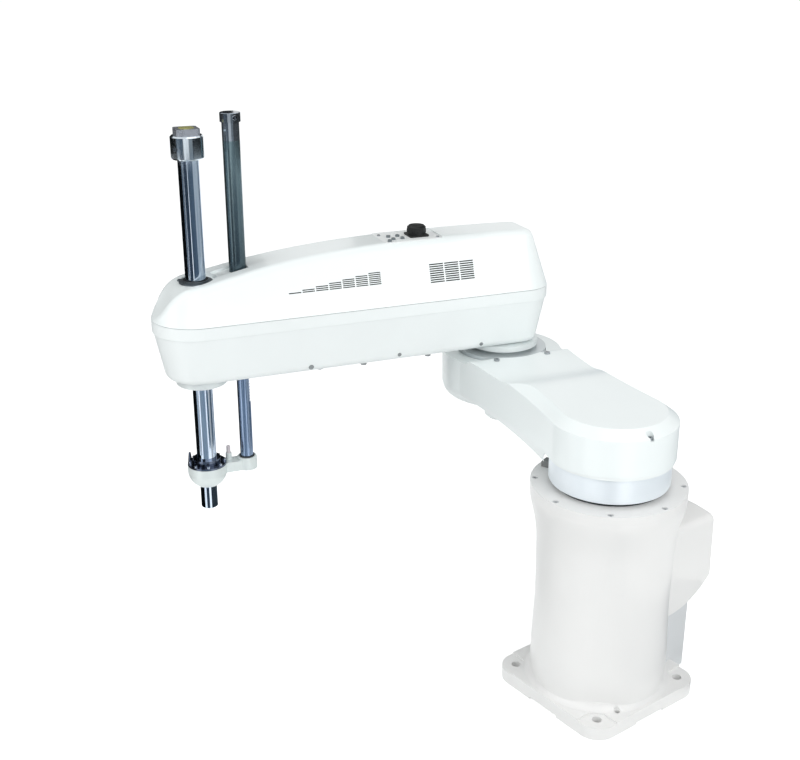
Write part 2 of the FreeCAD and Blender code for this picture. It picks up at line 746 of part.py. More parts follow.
def arm1_top_profile(drop, z_base):
    far = ARM1_LENGTH + ARM1_BOSS_R + 10.0
    near = -ARM1_R - 10.0
    crown = ARM1_CROWN_Z - drop
    deck = ARM1_DECK_Z - drop
    boss = ARM1_BOSS_TOP_Z - drop
    half = 2 * ARM1_BOSS_R
    swoop = Part.BSplineCurve()
    span = DECK_START_X - CROWN_END_X
    swoop.buildFromPoles([V(CROWN_END_X, -half, crown), V(CROWN_END_X + span * 0.45, -half, crown),
                          V(DECK_START_X - span * 0.45, -half, deck), V(DECK_START_X, -half, deck)])
    step = ARM1_STEP_X - drop
    step_end = step + ARM1_STEP_L
    ramp = Part.BSplineCurve()
    ramp.buildFromPoles([V(step, -half, deck), V(step + ARM1_STEP_L * 0.5, -half, deck),
                         V(step + ARM1_STEP_L * 0.5, -half, boss), V(step_end, -half, boss)])
    edges = [
        Part.LineSegment(V(near, -half, z_base), V(near, -half, crown)).toShape(),
        Part.LineSegment(V(near, -half, crown), V(CROWN_END_X, -half, crown)).toShape(),
        swoop.toShape(),
        Part.LineSegment(V(DECK_START_X, -half, deck), V(step, -half, deck)).toShape(),
        ramp.toShape(),
        Part.LineSegment(V(step_end, -half, boss), V(far, -half, boss)).toShape(),
        Part.LineSegment(V(far, -half, boss), V(far, -half, z_base)).toShape(),
        Part.LineSegment(V(far, -half, z_base), V(near, -half, z_base)).toShape(),
    ]
    return Part.Face(Part.Wire(edges)).extrude(V(0, 2 * half, 0))


def crown_bevel():
    r_low = ARM1_R + 0.5
    r_top = r_low - CROWN_BEVEL_W
    z0 = ARM1_CROWN_Z - CROWN_BEVEL
    outer = arm1_prism(-20.0, z0, ARM1_CROWN_Z + 5.0)
    grow = 5.0 * CROWN_BEVEL_W / CROWN_BEVEL
    inset = ARM1_R - r_low
    lofted = Part.makeLoft([arm1_outline(inset, z0), arm1_outline(ARM1_R - r_top + grow, ARM1_CROWN_Z + 5.0)],
                           True, True)
    return outer.cut(lofted)


def arm1_seam_side(upper):
    x0 = -2 * ARM1_R
    x1 = ARM1_LENGTH + 2 * ARM1_BOSS_R
    slope = (ARM1_SEAM_END_Z - ARM1_SEAM_Z) / ARM1_LENGTH
    z0 = ARM1_SEAM_Z + slope * x0
    z1 = ARM1_SEAM_Z + slope * x1
    far_z = ARM1_CROWN_Z + 20.0 if upper else ARM1_BOTTOM_Z - 20.0
    return side_prism([(x0, z0), (x1, z1), (x1, far_z), (x0, far_z)], -2 * ARM1_BOSS_R, 2 * ARM1_BOSS_R)


def arm1_cover_body(inset):
    z0 = ARM1_SEAM_END_Z - 12.0
    body = arm1_prism(inset, z0, ARM1_CROWN_Z).common(arm1_top_profile(inset, z0 - 1.0))
    bevel = crown_bevel()
    bevel.translate(V(0, 0, -inset))
    return body.cut(bevel)


def arm1_screw_sites():
    return [(ARM1_SCREW_X, ARM1_SCREW_Y, ARM1_DECK_Z), (ARM1_SCREW_X, -ARM1_SCREW_Y, ARM1_DECK_Z),
            (-ARM1_REAR_SCREW_X, ARM1_REAR_SCREW_Y, ARM1_REAR_SEAT_Z)]


def arm1_cover():
    solid = arm1_cover_body(0.0)
    room = arm1_cover_body(ARM1_WALL)
    room.translate(V(0, 0, -0.01))
    shell = solid.cut(room)
    seats = [cyl(ARM1_SCREW_HEAD_R + ARM1_SEAT_WALL, z - ARM1_SCREW_HEAD_H - ARM1_WALL, ARM1_CROWN_Z, x, y)
             for x, y, z in arm1_screw_sites()]
    shell = fuse([shell] + [seat.common(solid) for seat in seats])
    shell = shell.common(arm1_seam_side(True))
    shell = shell.cut(cyl(REDUCER2_R + COVER1_HOLE_GAP, ARM1_BOTTOM_Z, ARM1_CROWN_Z, ARM1_LENGTH))
    shell = shell.cut(cyl(TURNTABLE_R + SEAT_GAP, ARM1_BOTTOM_Z, TURNTABLE_TOP_Z + SEAT_GAP))
    for x, y, z in arm1_screw_sites():
        seat = cyl(ARM1_SCREW_HEAD_R + 0.8, z - ARM1_SCREW_HEAD_H * 0.3, ARM1_CROWN_Z, x, y)
        shell = shell.cut(seat).cut(cyl(ARM1_SCREW_R, ARM1_BOTTOM_Z, ARM1_CROWN_Z, x, y))
    # The seat of the rear screw opens through the wall
    z_open = ARM1_REAR_SEAT_Z - ARM1_SCREW_HEAD_H * 0.3
    y_half = ARM1_SCREW_HEAD_R * 0.7
    shell = shell.cut(block(-ARM1_R - 2.0, -ARM1_REAR_SCREW_X, ARM1_REAR_SCREW_Y - y_half,
                            ARM1_REAR_SCREW_Y + y_half, z_open, ARM1_CROWN_Z))
    return biggest(shell)


def arm1_casting():
    floor_top = TURNTABLE_TOP_Z + ARM1_FLOOR_T
    inner = ARM1_WALL + SEAT_GAP
    room = ARM1_WALL + 10.0
    rim_top = ARM1_SEAM_Z + 6.0
    floor = arm1_prism(inner, TURNTABLE_TOP_Z, floor_top)
    rim = arm1_prism(ARM1_RIM_INSET, ARM1_RIM_Z, rim_top).common(arm1_seam_side(False))
    rim = rim.cut(arm1_prism(room, ARM1_RIM_Z, TURNTABLE_TOP_Z))
    ledge = arm1_prism(inner, ARM1_RIM_Z, TURNTABLE_TOP_Z).cut(arm1_prism(room, ARM1_RIM_Z, TURNTABLE_TOP_Z))
    near_axis = cyl(ARM1_R + 2.5, ARM1_RIM_Z - 1.0, TURNTABLE_TOP_Z)
    skirt = fuse([rim, ledge]).cut(near_axis)
    boss = cyl(ARM1_BOSS_R - ARM1_RIM_INSET, ARM1_BOTTOM_Z, TURNTABLE_TOP_Z, ARM1_LENGTH)
    boss = boss.makeFillet(ARM1_BOSS_FILLET, [e for e in boss.Edges if e.BoundBox.ZMax < ARM1_BOTTOM_Z + 0.1])
    boss = boss.common(arm1_seam_side(False))
    neck = cyl(ARM1_BOSS_R - inner, ARM1_RIM_Z, floor_top, ARM1_LENGTH)
    arm_room = arm1_prism(inner, TURNTABLE_TOP_Z, ARM1_CROWN_Z)
    posts = []
    for x, y, z in arm1_screw_sites():
        post_top = z - ARM1_SCREW_HEAD_H - ARM1_WALL - SEAT_GAP
        posts.append(cyl(ARM1_SCREW_HEAD_R + 2.0, TURNTABLE_TOP_Z, post_top, x, y).common(arm_room))
    ribs = [block(ARM1_R - 10.0, ARM1_LENGTH - 60.0, y - 3.0, y + 3.0, ARM1_RIM_Z, TURNTABLE_TOP_Z + 1.0)
            for y in (-34.0, 0.0, 34.0)]
    ribs = [rib.cut(near_axis) for rib in ribs]
    body = fuse([floor, skirt, boss, neck] + posts + ribs)
    for x, y, z in arm1_screw_sites():
        body = body.cut(cyl(ARM1_SCREW_R, TURNTABLE_TOP_Z + 2.0, z, x, y))
    cap_room = cyl(SERVICE_CAP_R, ARM1_BOTTOM_Z, TURNTABLE_TOP_Z, SERVICE_CAP_X, SERVICE_CAP_Y)
    return biggest(body.cut(cap_room))


def arm1_screws():
    screws = []
    for x, y, z in arm1_screw_sites():
        seat_z = z - ARM1_SCREW_HEAD_H * 0.3
        screws.append(cap_screw(x, y, seat_z, ARM1_SCREW_HEAD_R, ARM1_SCREW_HEAD_H, ARM1_SCREW_R,
                                seat_z - TURNTABLE_TOP_Z - ARM1_FLOOR_T * 0.5))
    return group(screws)


def service_cap():
    z0 = ARM1_BOTTOM_Z
    cap = cyl(SERVICE_CAP_R, z0, TURNTABLE_TOP_Z, SERVICE_CAP_X, SERVICE_CAP_Y)
    cap = cap.makeChamfer(SERVICE_CAP_CHAMFER, [e for e in cap.Edges if e.BoundBox.ZMax < z0 + 0.1])
    return cap.makeChamfer(SERVICE_CAP_CHAMFER * 0.4, [e for e in cap.Edges if e.BoundBox.ZMax < z0 + 0.1])


# Second axis

def j2_reducer():
    z0 = TURNTABLE_TOP_Z + ARM1_FLOOR_T
    body = ring(REDUCER2_R, REDUCER2_BORE_R, z0, REDUCER2_TOP_Z)
    body.translate(V(ARM1_LENGTH, 0, 0))
    return body


def j2_output():
    ring_part = cyl(J2_RING_R, J2_RING_Z, ARM2_BOTTOM_Z)
    hub = cyl(REDUCER2_BORE_R - RUN_GAP, J2_RING_Z - J2_HUB_LEN, J2_RING_Z)
    return fuse([ring_part, hub]).cut(cyl(J2_HUB_BORE_R, J2_RING_Z - J2_HUB_LEN, ARM2_BOTTOM_Z))


def j2_motor():
    z0 = ARM2_BOTTOM_Z + CAST_FLOOR
    flange = rounded_square(MOTOR2_SIZE / 2, 5.0, z0, z0 + MOTOR2_FLANGE_H)
    body = rounded_square(MOTOR2_SIZE / 2 - 2.0, 7.0, z0 + MOTOR2_FLANGE_H, z0 + MOTOR2_LEN)
    shaft = cyl(MOTOR2_SHAFT_R, J2_RING_Z - J2_HUB_LEN + 5.0, z0)
    return fuse([flange, body, shaft])


# Second arm, drawn along +X from the second axis to the shaft

def arm2_outline(inset, z):
    half = ARM2_HALF - inset
    r_rear = REAR_CORNER_R - inset
    y_c = ARM2_HALF - REAR_CORNER_R
    x_c = REAR_CORNER_R - REAR_X
    diag = r_rear * math.sqrt(0.5)
    edges = [
        Part.Arc(V(NOSE_X, -half, z), V(NOSE_X + half, 0, z), V(NOSE_X, half, z)).toShape(),
        Part.LineSegment(V(NOSE_X, half, z), V(x_c, half, z)).toShape(),
        Part.Arc(V(x_c, half, z), V(x_c - diag, y_c + diag, z), V(x_c - r_rear, y_c, z)).toShape(),
        Part.LineSegment(V(x_c - r_rear, y_c, z), V(x_c - r_rear, -y_c, z)).toShape(),
        Part.Arc(V(x_c - r_rear, -y_c, z), V(x_c - diag, -y_c - diag, z), V(x_c, -half, z)).toShape(),
        Part.LineSegment(V(x_c, -half, z), V(NOSE_X, -half, z)).toShape(),
    ]
    return Part.Wire(edges)


def arm2_prism(inset, z0, z1):
    return Part.Face(arm2_outline(inset, z0)).extrude(V(0, 0, z1 - z0))


def arm2_taper(inset0, z0, inset1, z1):
    return Part.makeLoft([arm2_outline(inset0, z0), arm2_outline(inset1, z1)], True, True)


def cast_inset(z):
    return RIM_STEP + (RIM_Z - z) * CAST_DRAFT


def arm2_casting():
    lower = arm2_taper(cast_inset(ARM2_BOTTOM_Z), ARM2_BOTTOM_Z, cast_inset(RIM_Z), RIM_Z)
    bottom = [e for e in lower.Edges if e.BoundBox.ZMax < ARM2_BOTTOM_Z + 0.1]
    lower = lower.makeFillet(CAST_FILLET, bottom)
    body = fuse([lower, arm2_prism(0.0, RIM_Z, SEAM_Z)])
    floor_z = ARM2_BOTTOM_Z + CAST_FLOOR
    room = arm2_taper(cast_inset(floor_z) + CAST_WALL, floor_z, cast_inset(SEAM_Z) + CAST_WALL, SEAM_Z)
    body = body.cut(room)
    hub = ring(NUT_BEARING_R + HUB_WALL, NUT_BEARING_R, floor_z, NUT_BEARING_Z1, ARM2_LENGTH)
    body = fuse([body, hub])
    board_posts = [cyl(BOARD_POST_R, floor_z, BOARD_Z, x, y)
                   for x in (BOARD_X0 + 8.0, BOARD_X1 - 8.0) for y in (-BOARD_HALF + 8.0, BOARD_HALF - 8.0)]
    body = fuse([body] + board_posts)
    nut_room = cyl(NUT_R + 1.0, ARM2_BOTTOM_Z, floor_z, ARM2_LENGTH)
    rod_hole = cyl(TUBE_R + 1.5, ARM2_BOTTOM_Z, floor_z, ROD_X)
    motor_hole = cyl(MOTOR2_SHAFT_R + 1.0, ARM2_BOTTOM_Z, floor_z)
    return biggest(body.cut(group([nut_room, rod_hole, motor_hole])))


def arm2_gasket():
    return arm2_prism(GASKET_INSET, SEAM_Z, SEAM_Z + GASKET_T).cut(
        arm2_prism(CAST_WALL + 0.5, SEAM_Z, SEAM_Z + GASKET_T))


def cover_side_profile(drop, z0):
    y0 = -2 * ARM2_HALF
    back = -REAR_X - 20.0
    top = [(back, COVER_TOP_Z - 5.0), (-20.0, COVER_TOP_Z - 2.2), (60.0, COVER_TOP_Z - 0.3),
           (140.0, COVER_TOP_Z), (233.0, COVER_TOP_Z - 2.0), (ARM2_LENGTH - 176.0, COVER_TOP_Z - 8.0),
           (ARM2_LENGTH - 89.0, COVER_TOP_Z - 19.5)]
    top += [(ARM2_LENGTH + dx, COVER_NOSE_Z + dz) for dx, dz in COVER_NOSE]
    top = [V(x, y0, z - drop) for x, z in top]
    for point in top:
        if point.x > ARM2_LENGTH + 1.0:
            point.x -= drop * 0.6
    curve = Part.BSplineCurve()
    curve.interpolate(top)
    tip_x = COVER_TIP_X - drop * 1.2
    edges = [
        curve.toShape(),
        Part.LineSegment(top[-1], V(tip_x, y0, SEAM_Z - 3.0)).toShape(),
        Part.LineSegment(V(tip_x, y0, SEAM_Z - 3.0), V(tip_x, y0, z0)).toShape(),
        Part.LineSegment(V(tip_x, y0, z0), V(back, y0, z0)).toShape(),
        Part.LineSegment(V(back, y0, z0), top[0]).toShape(),
    ]
    return Part.Face(Part.Wire(edges)).extrude(V(0, -2 * y0, 0))


def cover_core(inset, drop):
    z0 = SEAM_Z + GASKET_T
    z1 = COVER_TOP_Z + 10.0
    taper = arm2_taper(inset, z0, inset + (z1 - z0) * COVER_DRAFT, z1)
    return taper.common(cover_side_profile(drop, z0 - 5.0))


def cover_body():
    body = cover_core(0.0, 0.0)
    z0 = SEAM_Z + GASKET_T
    top_edges = []
    for edge in body.Edges:
        if edge.BoundBox.ZMax > z0 + 20.0 and edge.BoundBox.ZMin > z0 + 2.0:
            top_edges.append(edge)
    return body.makeFillet(COVER_EDGE_R, top_edges)


def vent_slots():
    slots = []
    for col in range(VENT_COLS_FRONT):
        x1 = VENT_FRONT_X - col * VENT_FRONT_COL
        for row in range(col + 1):
            z = VENT_FRONT_Z + row * VENT_FRONT_PITCH
            slots.append(block(x1 - VENT_FRONT_COL + VENT_FRONT_BAR, x1, VENT_Y0, VENT_Y1, z, z + VENT_FRONT_SLOT))
    for col in range(VENT_COLS_REAR):
        x1 = VENT_REAR_X - col * VENT_REAR_COL
        for row in range(VENT_ROWS_REAR):
            z = VENT_REAR_Z + row * VENT_REAR_PITCH
            slots.append(block(x1 - VENT_REAR_COL + VENT_REAR_BAR, x1, VENT_Y0, VENT_Y1, z, z + VENT_REAR_SLOT))
    return group(slots)


def panel_outline(grow, z0, z1):
    x0 = PANEL_X0 - grow
    x1 = PANEL_X1 + grow
    half = PANEL_HALF + grow
    plate = block(x0, x1, -half, half, z0, z1)
    corner = [e for e in plate.Edges if abs(e.BoundBox.ZLength - (z1 - z0)) < 0.01]
    return plate.makeFillet(max(PANEL_R + grow, 1.0), corner)


def dish_room(margin, z0):
    x_tube = ROD_X - TUBE_R
    z_low = z0 + margin * CHANNEL_SLOPE
    z_high = z_low + (ARM2_LENGTH - x_tube) * CHANNEL_SLOPE
    well = cyl(DISH_R + margin, z0, COVER_TOP_Z, ARM2_LENGTH)
    channel = side_prism([(x_tube - margin, z_high), (ARM2_LENGTH, z_low), (ARM2_LENGTH, COVER_TOP_Z),
                          (x_tube - margin, COVER_TOP_Z)], -CHANNEL_HALF - margin, CHANNEL_HALF + margin)
    return fuse([well, channel])


def arm2_cover():
    solid = cover_body()
    shell = solid.cut(cover_core(COVER_WALL, COVER_TOP_WALL))
    shell = fuse([shell, dish_room(DISH_MARGIN, DISH_WALL_Z).common(solid)])
    shell = shell.cut(dish_room(0.0, DISH_Z))
    shell = shell.cut(vent_slots())
    shell = shell.cut(panel_outline(SEAT_GAP, PANEL_Z - PANEL_T, COVER_TOP_Z + 10.0))
    shell = shell.cut(panel_outline(-3.0, SEAM_Z, COVER_TOP_Z))
    shell = shell.cut(cyl(WIPER_R, SEAM_Z + 20.0, COVER_TOP_Z, ARM2_LENGTH))
    shell = shell.cut(cyl(TUBE_R + SEAT_GAP, SEAM_Z + 20.0, COVER_TOP_Z, ROD_X))
    return biggest(shell)


def top_panel():
    panel = panel_outline(0.0, PANEL_Z - PANEL_T, PANEL_Z)
    for x, y in PORT_SITES:
        panel = panel.cut(cyl(PORT_HOLE_R, PANEL_Z - PANEL_T, PANEL_Z, x, y))
    return panel.cut(cyl(ROUND_CONN_R * 0.8, PANEL_Z - PANEL_T, PANEL_Z, ROUND_CONN_X, ROUND_CONN_Y))


def panel_screws():
    return group([cyl(PANEL_SCREW_R, PANEL_Z, PANEL_Z + PANEL_SCREW_H, x, y) for x, y in PANEL_SCREW_SITES])


def round_connector():
    half = ROUND_CONN_FLANGE / 2
    flange = rounded_square(half, 3.0, PANEL_Z, PANEL_Z + ROUND_CONN_FLANGE_T)
    flange.translate(V(ROUND_CONN_X, ROUND_CONN_Y, 0))
    z1 = PANEL_Z + ROUND_CONN_FLANGE_T + ROUND_CONN_H
    cap = cyl(ROUND_CONN_R, PANEL_Z + ROUND_CONN_FLANGE_T, z1, ROUND_CONN_X, ROUND_CONN_Y)
    cap = cap.makeChamfer(ROUND_CONN_DOME, [e for e in cap.Edges if e.BoundBox.ZMin > z1 - 0.1])
    tail = cyl(ROUND_CONN_R * 0.8, PANEL_Z - 12.0, PANEL_Z, ROUND_CONN_X, ROUND_CONN_Y)
    return fuse([flange, cap, tail])


def panel_ports():
    ports = []
    for x, y in PORT_SITES:
        body = cyl(PORT_R, PANEL_Z, PANEL_Z + PORT_H, x, y)
        tail = cyl(PORT_HOLE_R, PANEL_Z - PANEL_T - 6.0, PANEL_Z, x, y)
        ports.append(fuse([body, tail]).cut(cyl(PORT_HOLE_R * 0.6, PANEL_Z - 5.0, PANEL_Z + PORT_H, x, y)))
    return group(ports)


def nose_collar():
    collar = cyl(NOSE_COLLAR_R, NOSE_COLLAR_Z, ARM2_BOTTOM_Z, ARM2_LENGTH)
    collar = collar.makeChamfer(1.5, [e for e in collar.Edges if e.BoundBox.ZMax < NOSE_COLLAR_Z + 0.1])
    return collar.cut(cyl(SHAFT_R + RUN_GAP, NOSE_COLLAR_Z, ARM2_BOTTOM_Z, ARM2_LENGTH))


def spline_nut():
    return ring(NUT_R, SHAFT_R + FIT_GAP, NUT_Z0, NUT_Z1, ARM2_LENGTH)


def nut_bearing():
    return ring(NUT_BEARING_R, NUT_R + FIT_GAP, NUT_BEARING_Z0, NUT_BEARING_Z1, ARM2_LENGTH)


def flanged_pulley(r, bore, x):
    body = cyl(r, PULLEY_Z0, PULLEY_Z1, x)
    low = cyl(r + BELT_GAP + PULLEY_FLANGE, PULLEY_Z0, PULLEY_Z0 + PULLEY_FLANGE_H, x)
    high = cyl(r + BELT_GAP + PULLEY_FLANGE, PULLEY_Z1 - PULLEY_FLANGE_H, PULLEY_Z1, x)
    whole = fuse([body, low, high])
    return whole.cut(cyl(bore, PULLEY_Z0, PULLEY_Z1, x)) if bore else whole


def nut_pulley():
    return flanged_pulley(NUT_PULLEY_R, NUT_R, ARM2_LENGTH)


def t_motor_pulley():
    shaft = cyl(MOTOR_T_SHAFT_R, MOTOR_T_TOP_Z - 8.0, PULLEY_Z0, MOTOR_T_X)
    return fuse([flanged_pulley(MOTOR_PULLEY_R, 0, MOTOR_T_X), shaft])


def belt_loop(grow, z0, z1):
    r_a = NUT_PULLEY_R + grow
    r_b = MOTOR_PULLEY_R + grow
    span = ARM2_LENGTH - MOTOR_T_X
    lean = math.acos((r_a - r_b) / span)
    a_up = V(ARM2_LENGTH - r_a * math.cos(lean), r_a * math.sin(lean), z0)
    b_up = V(MOTOR_T_X - r_b * math.cos(lean), r_b * math.sin(lean), z0)
    a_dn = V(a_up.x, -a_up.y, z0)
    b_dn = V(b_up.x, -b_up.y, z0)
    edges = [
        Part.Arc(a_dn, V(ARM2_LENGTH + r_a, 0, z0), a_up).toShape(),
        Part.LineSegment(a_up, b_up).toShape(),
        Part.Arc(b_up, V(MOTOR_T_X - r_b, 0, z0), b_dn).toShape(),
        Part.LineSegment(b_dn, a_dn).toShape(),
    ]
    return Part.Face(Part.Wire(edges)).extrude(V(0, 0, z1 - z0))


def timing_belt():
    z0 = PULLEY_Z0 + PULLEY_FLANGE_H + BELT_GAP
    z1 = PULLEY_Z1 - PULLEY_FLANGE_H - BELT_GAP
    return belt_loop(BELT_GAP + BELT_T, z0, z1).cut(belt_loop(BELT_GAP, z0, z1))


def t_motor():
    floor_z = ARM2_BOTTOM_Z + CAST_FLOOR
    body = rounded_square(MOTOR_T_SIZE / 2, 6.0, floor_z, MOTOR_T_TOP_Z)
    body.translate(V(MOTOR_T_X, 0, 0))
    return body.cut(cyl(MOTOR_T_SHAFT_R + RUN_GAP, MOTOR_T_TOP_Z - 10.0, MOTOR_T_TOP_Z, MOTOR_T_X))


def shaft_wiper():
    seat = cyl(WIPER_R, DISH_WALL_Z - WIPER_T, DISH_Z, ARM2_LENGTH)
    flange = cyl(WIPER_FLANGE_R, DISH_Z, DISH_Z + WIPER_T, ARM2_LENGTH)
    lip = cyl(WIPER_LIP_R, DISH_Z + WIPER_T, DISH_Z + 2 * WIPER_T, ARM2_LENGTH)
    tab = block(WIPER_R, WIPER_R + WIPER_TAB_L, -WIPER_TAB_W / 2, WIPER_TAB_W / 2, DISH_Z, DISH_Z + WIPER_T)
    tab.rotate(V(0, 0, 0), Z_AXIS, WIPER_TAB_ANGLE)
    tab.translate(V(ARM2_LENGTH, 0, 0))
    bore = cyl(SHAFT_R + RUN_GAP, DISH_WALL_Z - WIPER_T, DISH_Z + 2 * WIPER_T, ARM2_LENGTH)
    return fuse([seat, flange, lip, tab]).cut(bore)


# Lift drive

def pinion_pitch_r():
    return RACK_MODULE * PINION_TEETH / 2


def rack_pitch_x():
    return ROD_X - RACK_FLAT + RACK_MODULE


def rack_rod():
    rod = cyl(ROD_R, BRACKET_BOSS_TOP_Z - 14.0, ROD_TOP_Z, ROD_X)
    rod = rod.makeChamfer(1.5, [e for e in rod.Edges if e.BoundBox.ZMin > ROD_TOP_Z - 0.1])
    pitch = math.pi * RACK_MODULE
    tip_x = ROD_X - RACK_FLAT
    rod = rod.cut(block(ROD_X - ROD_R, tip_x, -ROD_R, ROD_R, RACK_Z0, ROD_TOP_Z))
    root_x = tip_x + 2.25 * RACK_MODULE
    gaps = []
    # A space of the rack faces the pinion's tooth at the drive height
    below = int((PINION_Z - RACK_Z0) / pitch - 0.5)
    above = int((ROD_TOP_Z - PINION_Z) / pitch - 0.5)
    for k in range(-below, above + 1):
        z = PINION_Z + pitch * k
        wide = pitch / 4 + BACKLASH + (RACK_MODULE + 1.0) * PRESSURE_TAN
        slim = pitch / 4 + BACKLASH - 1.25 * RACK_MODULE * PRESSURE_TAN
        gaps.append(side_prism([(tip_x - 1.0, z - wide), (tip_x - 1.0, z + wide), (root_x, z + slim),
                                (root_x, z - slim)], -ROD_R, ROD_R))
    return biggest(rod.cut(group(gaps)))


def pinion_profile_points():
    pitch_r = pinion_pitch_r()
    root = pitch_r - 1.25 * RACK_MODULE
    tip = pitch_r + 0.85 * RACK_MODULE
    step = 360.0 / PINION_TEETH
    points = []
    for k in range(PINION_TEETH):
        for r, share in ((root, -0.27), (pitch_r, -0.225), (tip, -0.10), (tip, 0.10), (pitch_r, 0.225), (root, 0.27)):
            p = polar(r, step * (k + share))
            points.append((p.x, p.y))
    return points


def z_pinion():
    wheel = prism(pinion_profile_points(), -PINION_W / 2, PINION_W / 2)
    hub = cyl(PINION_SHAFT_R, -GUIDE_HALF_Y - 6.0, GUIDE_HALF_Y - 1.0)
    gear = fuse([wheel, hub])
    gear.rotate(V(0, 0, 0), V(1, 0, 0), -90.0)
    gear.translate(V(rack_pitch_x() - pinion_pitch_r(), 0, PINION_Z))
    return gear


def across(r, y0, y1, x, z):
    return Part.makeCylinder(r, y1 - y0, V(x, y0, z), V(0, 1, 0))


def rack_guide():
    pinion_x = rack_pitch_x() - pinion_pitch_r()
    floor_z = ARM2_BOTTOM_Z + CAST_FLOOR
    body = block(pinion_x - 16.0, ROD_X + GUIDE_X - 2.0, -GUIDE_HALF_Y, GUIDE_HALF_Y, floor_z, GUIDE_TOP_Z)
    upright = [e for e in body.Edges if abs(e.BoundBox.ZLength - (GUIDE_TOP_Z - floor_z)) < 0.01]
    body = body.makeFillet(3.0, upright)
    window = block(pinion_x - 20.0, ROD_X - RACK_FLAT + 6.0, -PINION_W / 2 - 1.0, PINION_W / 2 + 1.0,
                   PINION_Z - 16.0, PINION_Z + 16.0)
    spigot_z = ARM2_BOTTOM_Z - GUIDE_SPIGOT_H
    body = fuse([body, cyl(GUIDE_SPIGOT_R, spigot_z, floor_z, ROD_X)])
    bore = cyl(ROD_R + FIT_GAP, spigot_z, GUIDE_TOP_Z, ROD_X)
    shaft_way = across(PINION_SHAFT_R + RUN_GAP, -GUIDE_HALF_Y, GUIDE_HALF_Y, pinion_x, PINION_Z)
    return biggest(body.cut(group([window, bore, shaft_way])))


def z_motor():
    pinion_x = rack_pitch_x() - pinion_pitch_r()
    body = across(MOTOR_Z_R, -GUIDE_HALF_Y - MOTOR_Z_LEN, -GUIDE_HALF_Y, pinion_x, PINION_Z)
    return body.cut(across(PINION_SHAFT_R + RUN_GAP, -GUIDE_HALF_Y - 8.0, -GUIDE_HALF_Y, pinion_x, PINION_Z))


def rod_guard_tube():
    return ring(TUBE_R, TUBE_R - TUBE_WALL, GUIDE_TOP_Z, TUBE_TOP_Z, ROD_X)


def guard_tube_cap():
    cap = cyl(TUBE_CAP_R, TUBE_CAP_Z0, TUBE_CAP_Z1, ROD_X)
    cap = cap.makeChamfer(0.8, [e for e in cap.Edges if e.BoundBox.ZMin > TUBE_CAP_Z1 - 0.1])
    return cap.cut(cyl(TUBE_R, TUBE_CAP_Z0, TUBE_TOP_Z, ROD_X))


# Lift bracket, which carries the shaft and is carried by the rack rod

def bracket():
    x = ARM2_LENGTH
    bowl_mid = cyl(BRACKET_R, BRACKET_RIM_Z, BRACKET_TOP_Z, x)
    radius_drop = BRACKET_RIM_Z - BRACKET_BOTTOM_Z
    profile = Part.Wire([
        Part.LineSegment(V(0, 0, BRACKET_RIM_Z), V(BRACKET_R, 0, BRACKET_RIM_Z)).toShape(),
        Part.Arc(V(BRACKET_R, 0, BRACKET_RIM_Z), V(BRACKET_R - 4.5, 0, BRACKET_RIM_Z - radius_drop * 0.6),
                 V(BRACKET_FOOT_R, 0, BRACKET_BOTTOM_Z)).toShape(),
        Part.LineSegment(V(BRACKET_FOOT_R, 0, BRACKET_BOTTOM_Z), V(0, 0, BRACKET_BOTTOM_Z)).toShape(),
        Part.LineSegment(V(0, 0, BRACKET_BOTTOM_Z), V(0, 0, BRACKET_RIM_Z)).toShape(),
    ])
    bowl = Part.Face(profile).revolve(V(0, 0, 0), Z_AXIS, 360.0)
    bowl.translate(V(x, 0, 0))
    arm = block(ROD_X, x, -BRACKET_ARM_HALF, BRACKET_ARM_HALF, BRACKET_ARM_Z0, BRACKET_TOP_Z)
    boss = cyl(BRACKET_BOSS_R, BRACKET_ARM_Z0, BRACKET_BOSS_TOP_Z, ROD_X)
    boss = boss.makeChamfer(1.2, [e for e in boss.Edges if e.BoundBox.ZMin > BRACKET_BOSS_TOP_Z - 0.1])
    pad = cyl(BUMPER_R + 1.6, BRACKET_ARM_Z0, BRACKET_TOP_Z + BUMPER_PAD_H, x - BUMPER_X, BUMPER_Y)
    body = fuse([bowl_mid, bowl, arm, boss, pad])
    body = body.cut(cyl(BEARING_R, BEARING_FLOOR_Z, BRACKET_TOP_Z, x))
    body = body.cut(cyl(SHAFT_R + RUN_GAP, BRACKET_BOTTOM_Z, BRACKET_TOP_Z, x))
    body = body.cut(cyl(ROD_R, BRACKET_BOSS_TOP_Z - 14.0, BRACKET_BOSS_TOP_Z, ROD_X))
    return biggest(body)


def shaft_bearing():
    return ring(BEARING_R, SHAFT_R + FIT_GAP, BEARING_FLOOR_Z, BRACKET_TOP_Z, ARM2_LENGTH)


def bearing_retainer():
    flat = ring(BRACKET_R - 0.5, SHAFT_R + 2.0, BRACKET_TOP_Z, BRACKET_TOP_Z + RETAINER_T, ARM2_LENGTH)
    for k in range(RETAINER_SCREWS):
        p = polar(RETAINER_SCREW_PCD_R, 360.0 * (k + 0.5) / RETAINER_SCREWS + LUG_ANGLE)
        flat = flat.cut(cyl(RETAINER_SCREW_R, BRACKET_TOP_Z, BRACKET_TOP_Z + RETAINER_T,
                            ARM2_LENGTH + p.x, p.y))
    return flat


def retainer_screws():
    screws = []
    for k in range(RETAINER_SCREWS):
        p = polar(RETAINER_SCREW_PCD_R, 360.0 * (k + 0.5) / RETAINER_SCREWS + LUG_ANGLE)
        screws.append(cap_screw(ARM2_LENGTH + p.x, p.y, BRACKET_TOP_Z + RETAINER_T, RETAINER_HEAD_R,
                                RETAINER_HEAD_H, RETAINER_SCREW_R, RETAINER_T))
    return group(screws)


def rod_seat_ring():
    z = BRACKET_BOSS_TOP_Z
    return ring(ROD_R + 1.8, ROD_R, z, z + ROD_SEAT_T * 0.6, ROD_X)


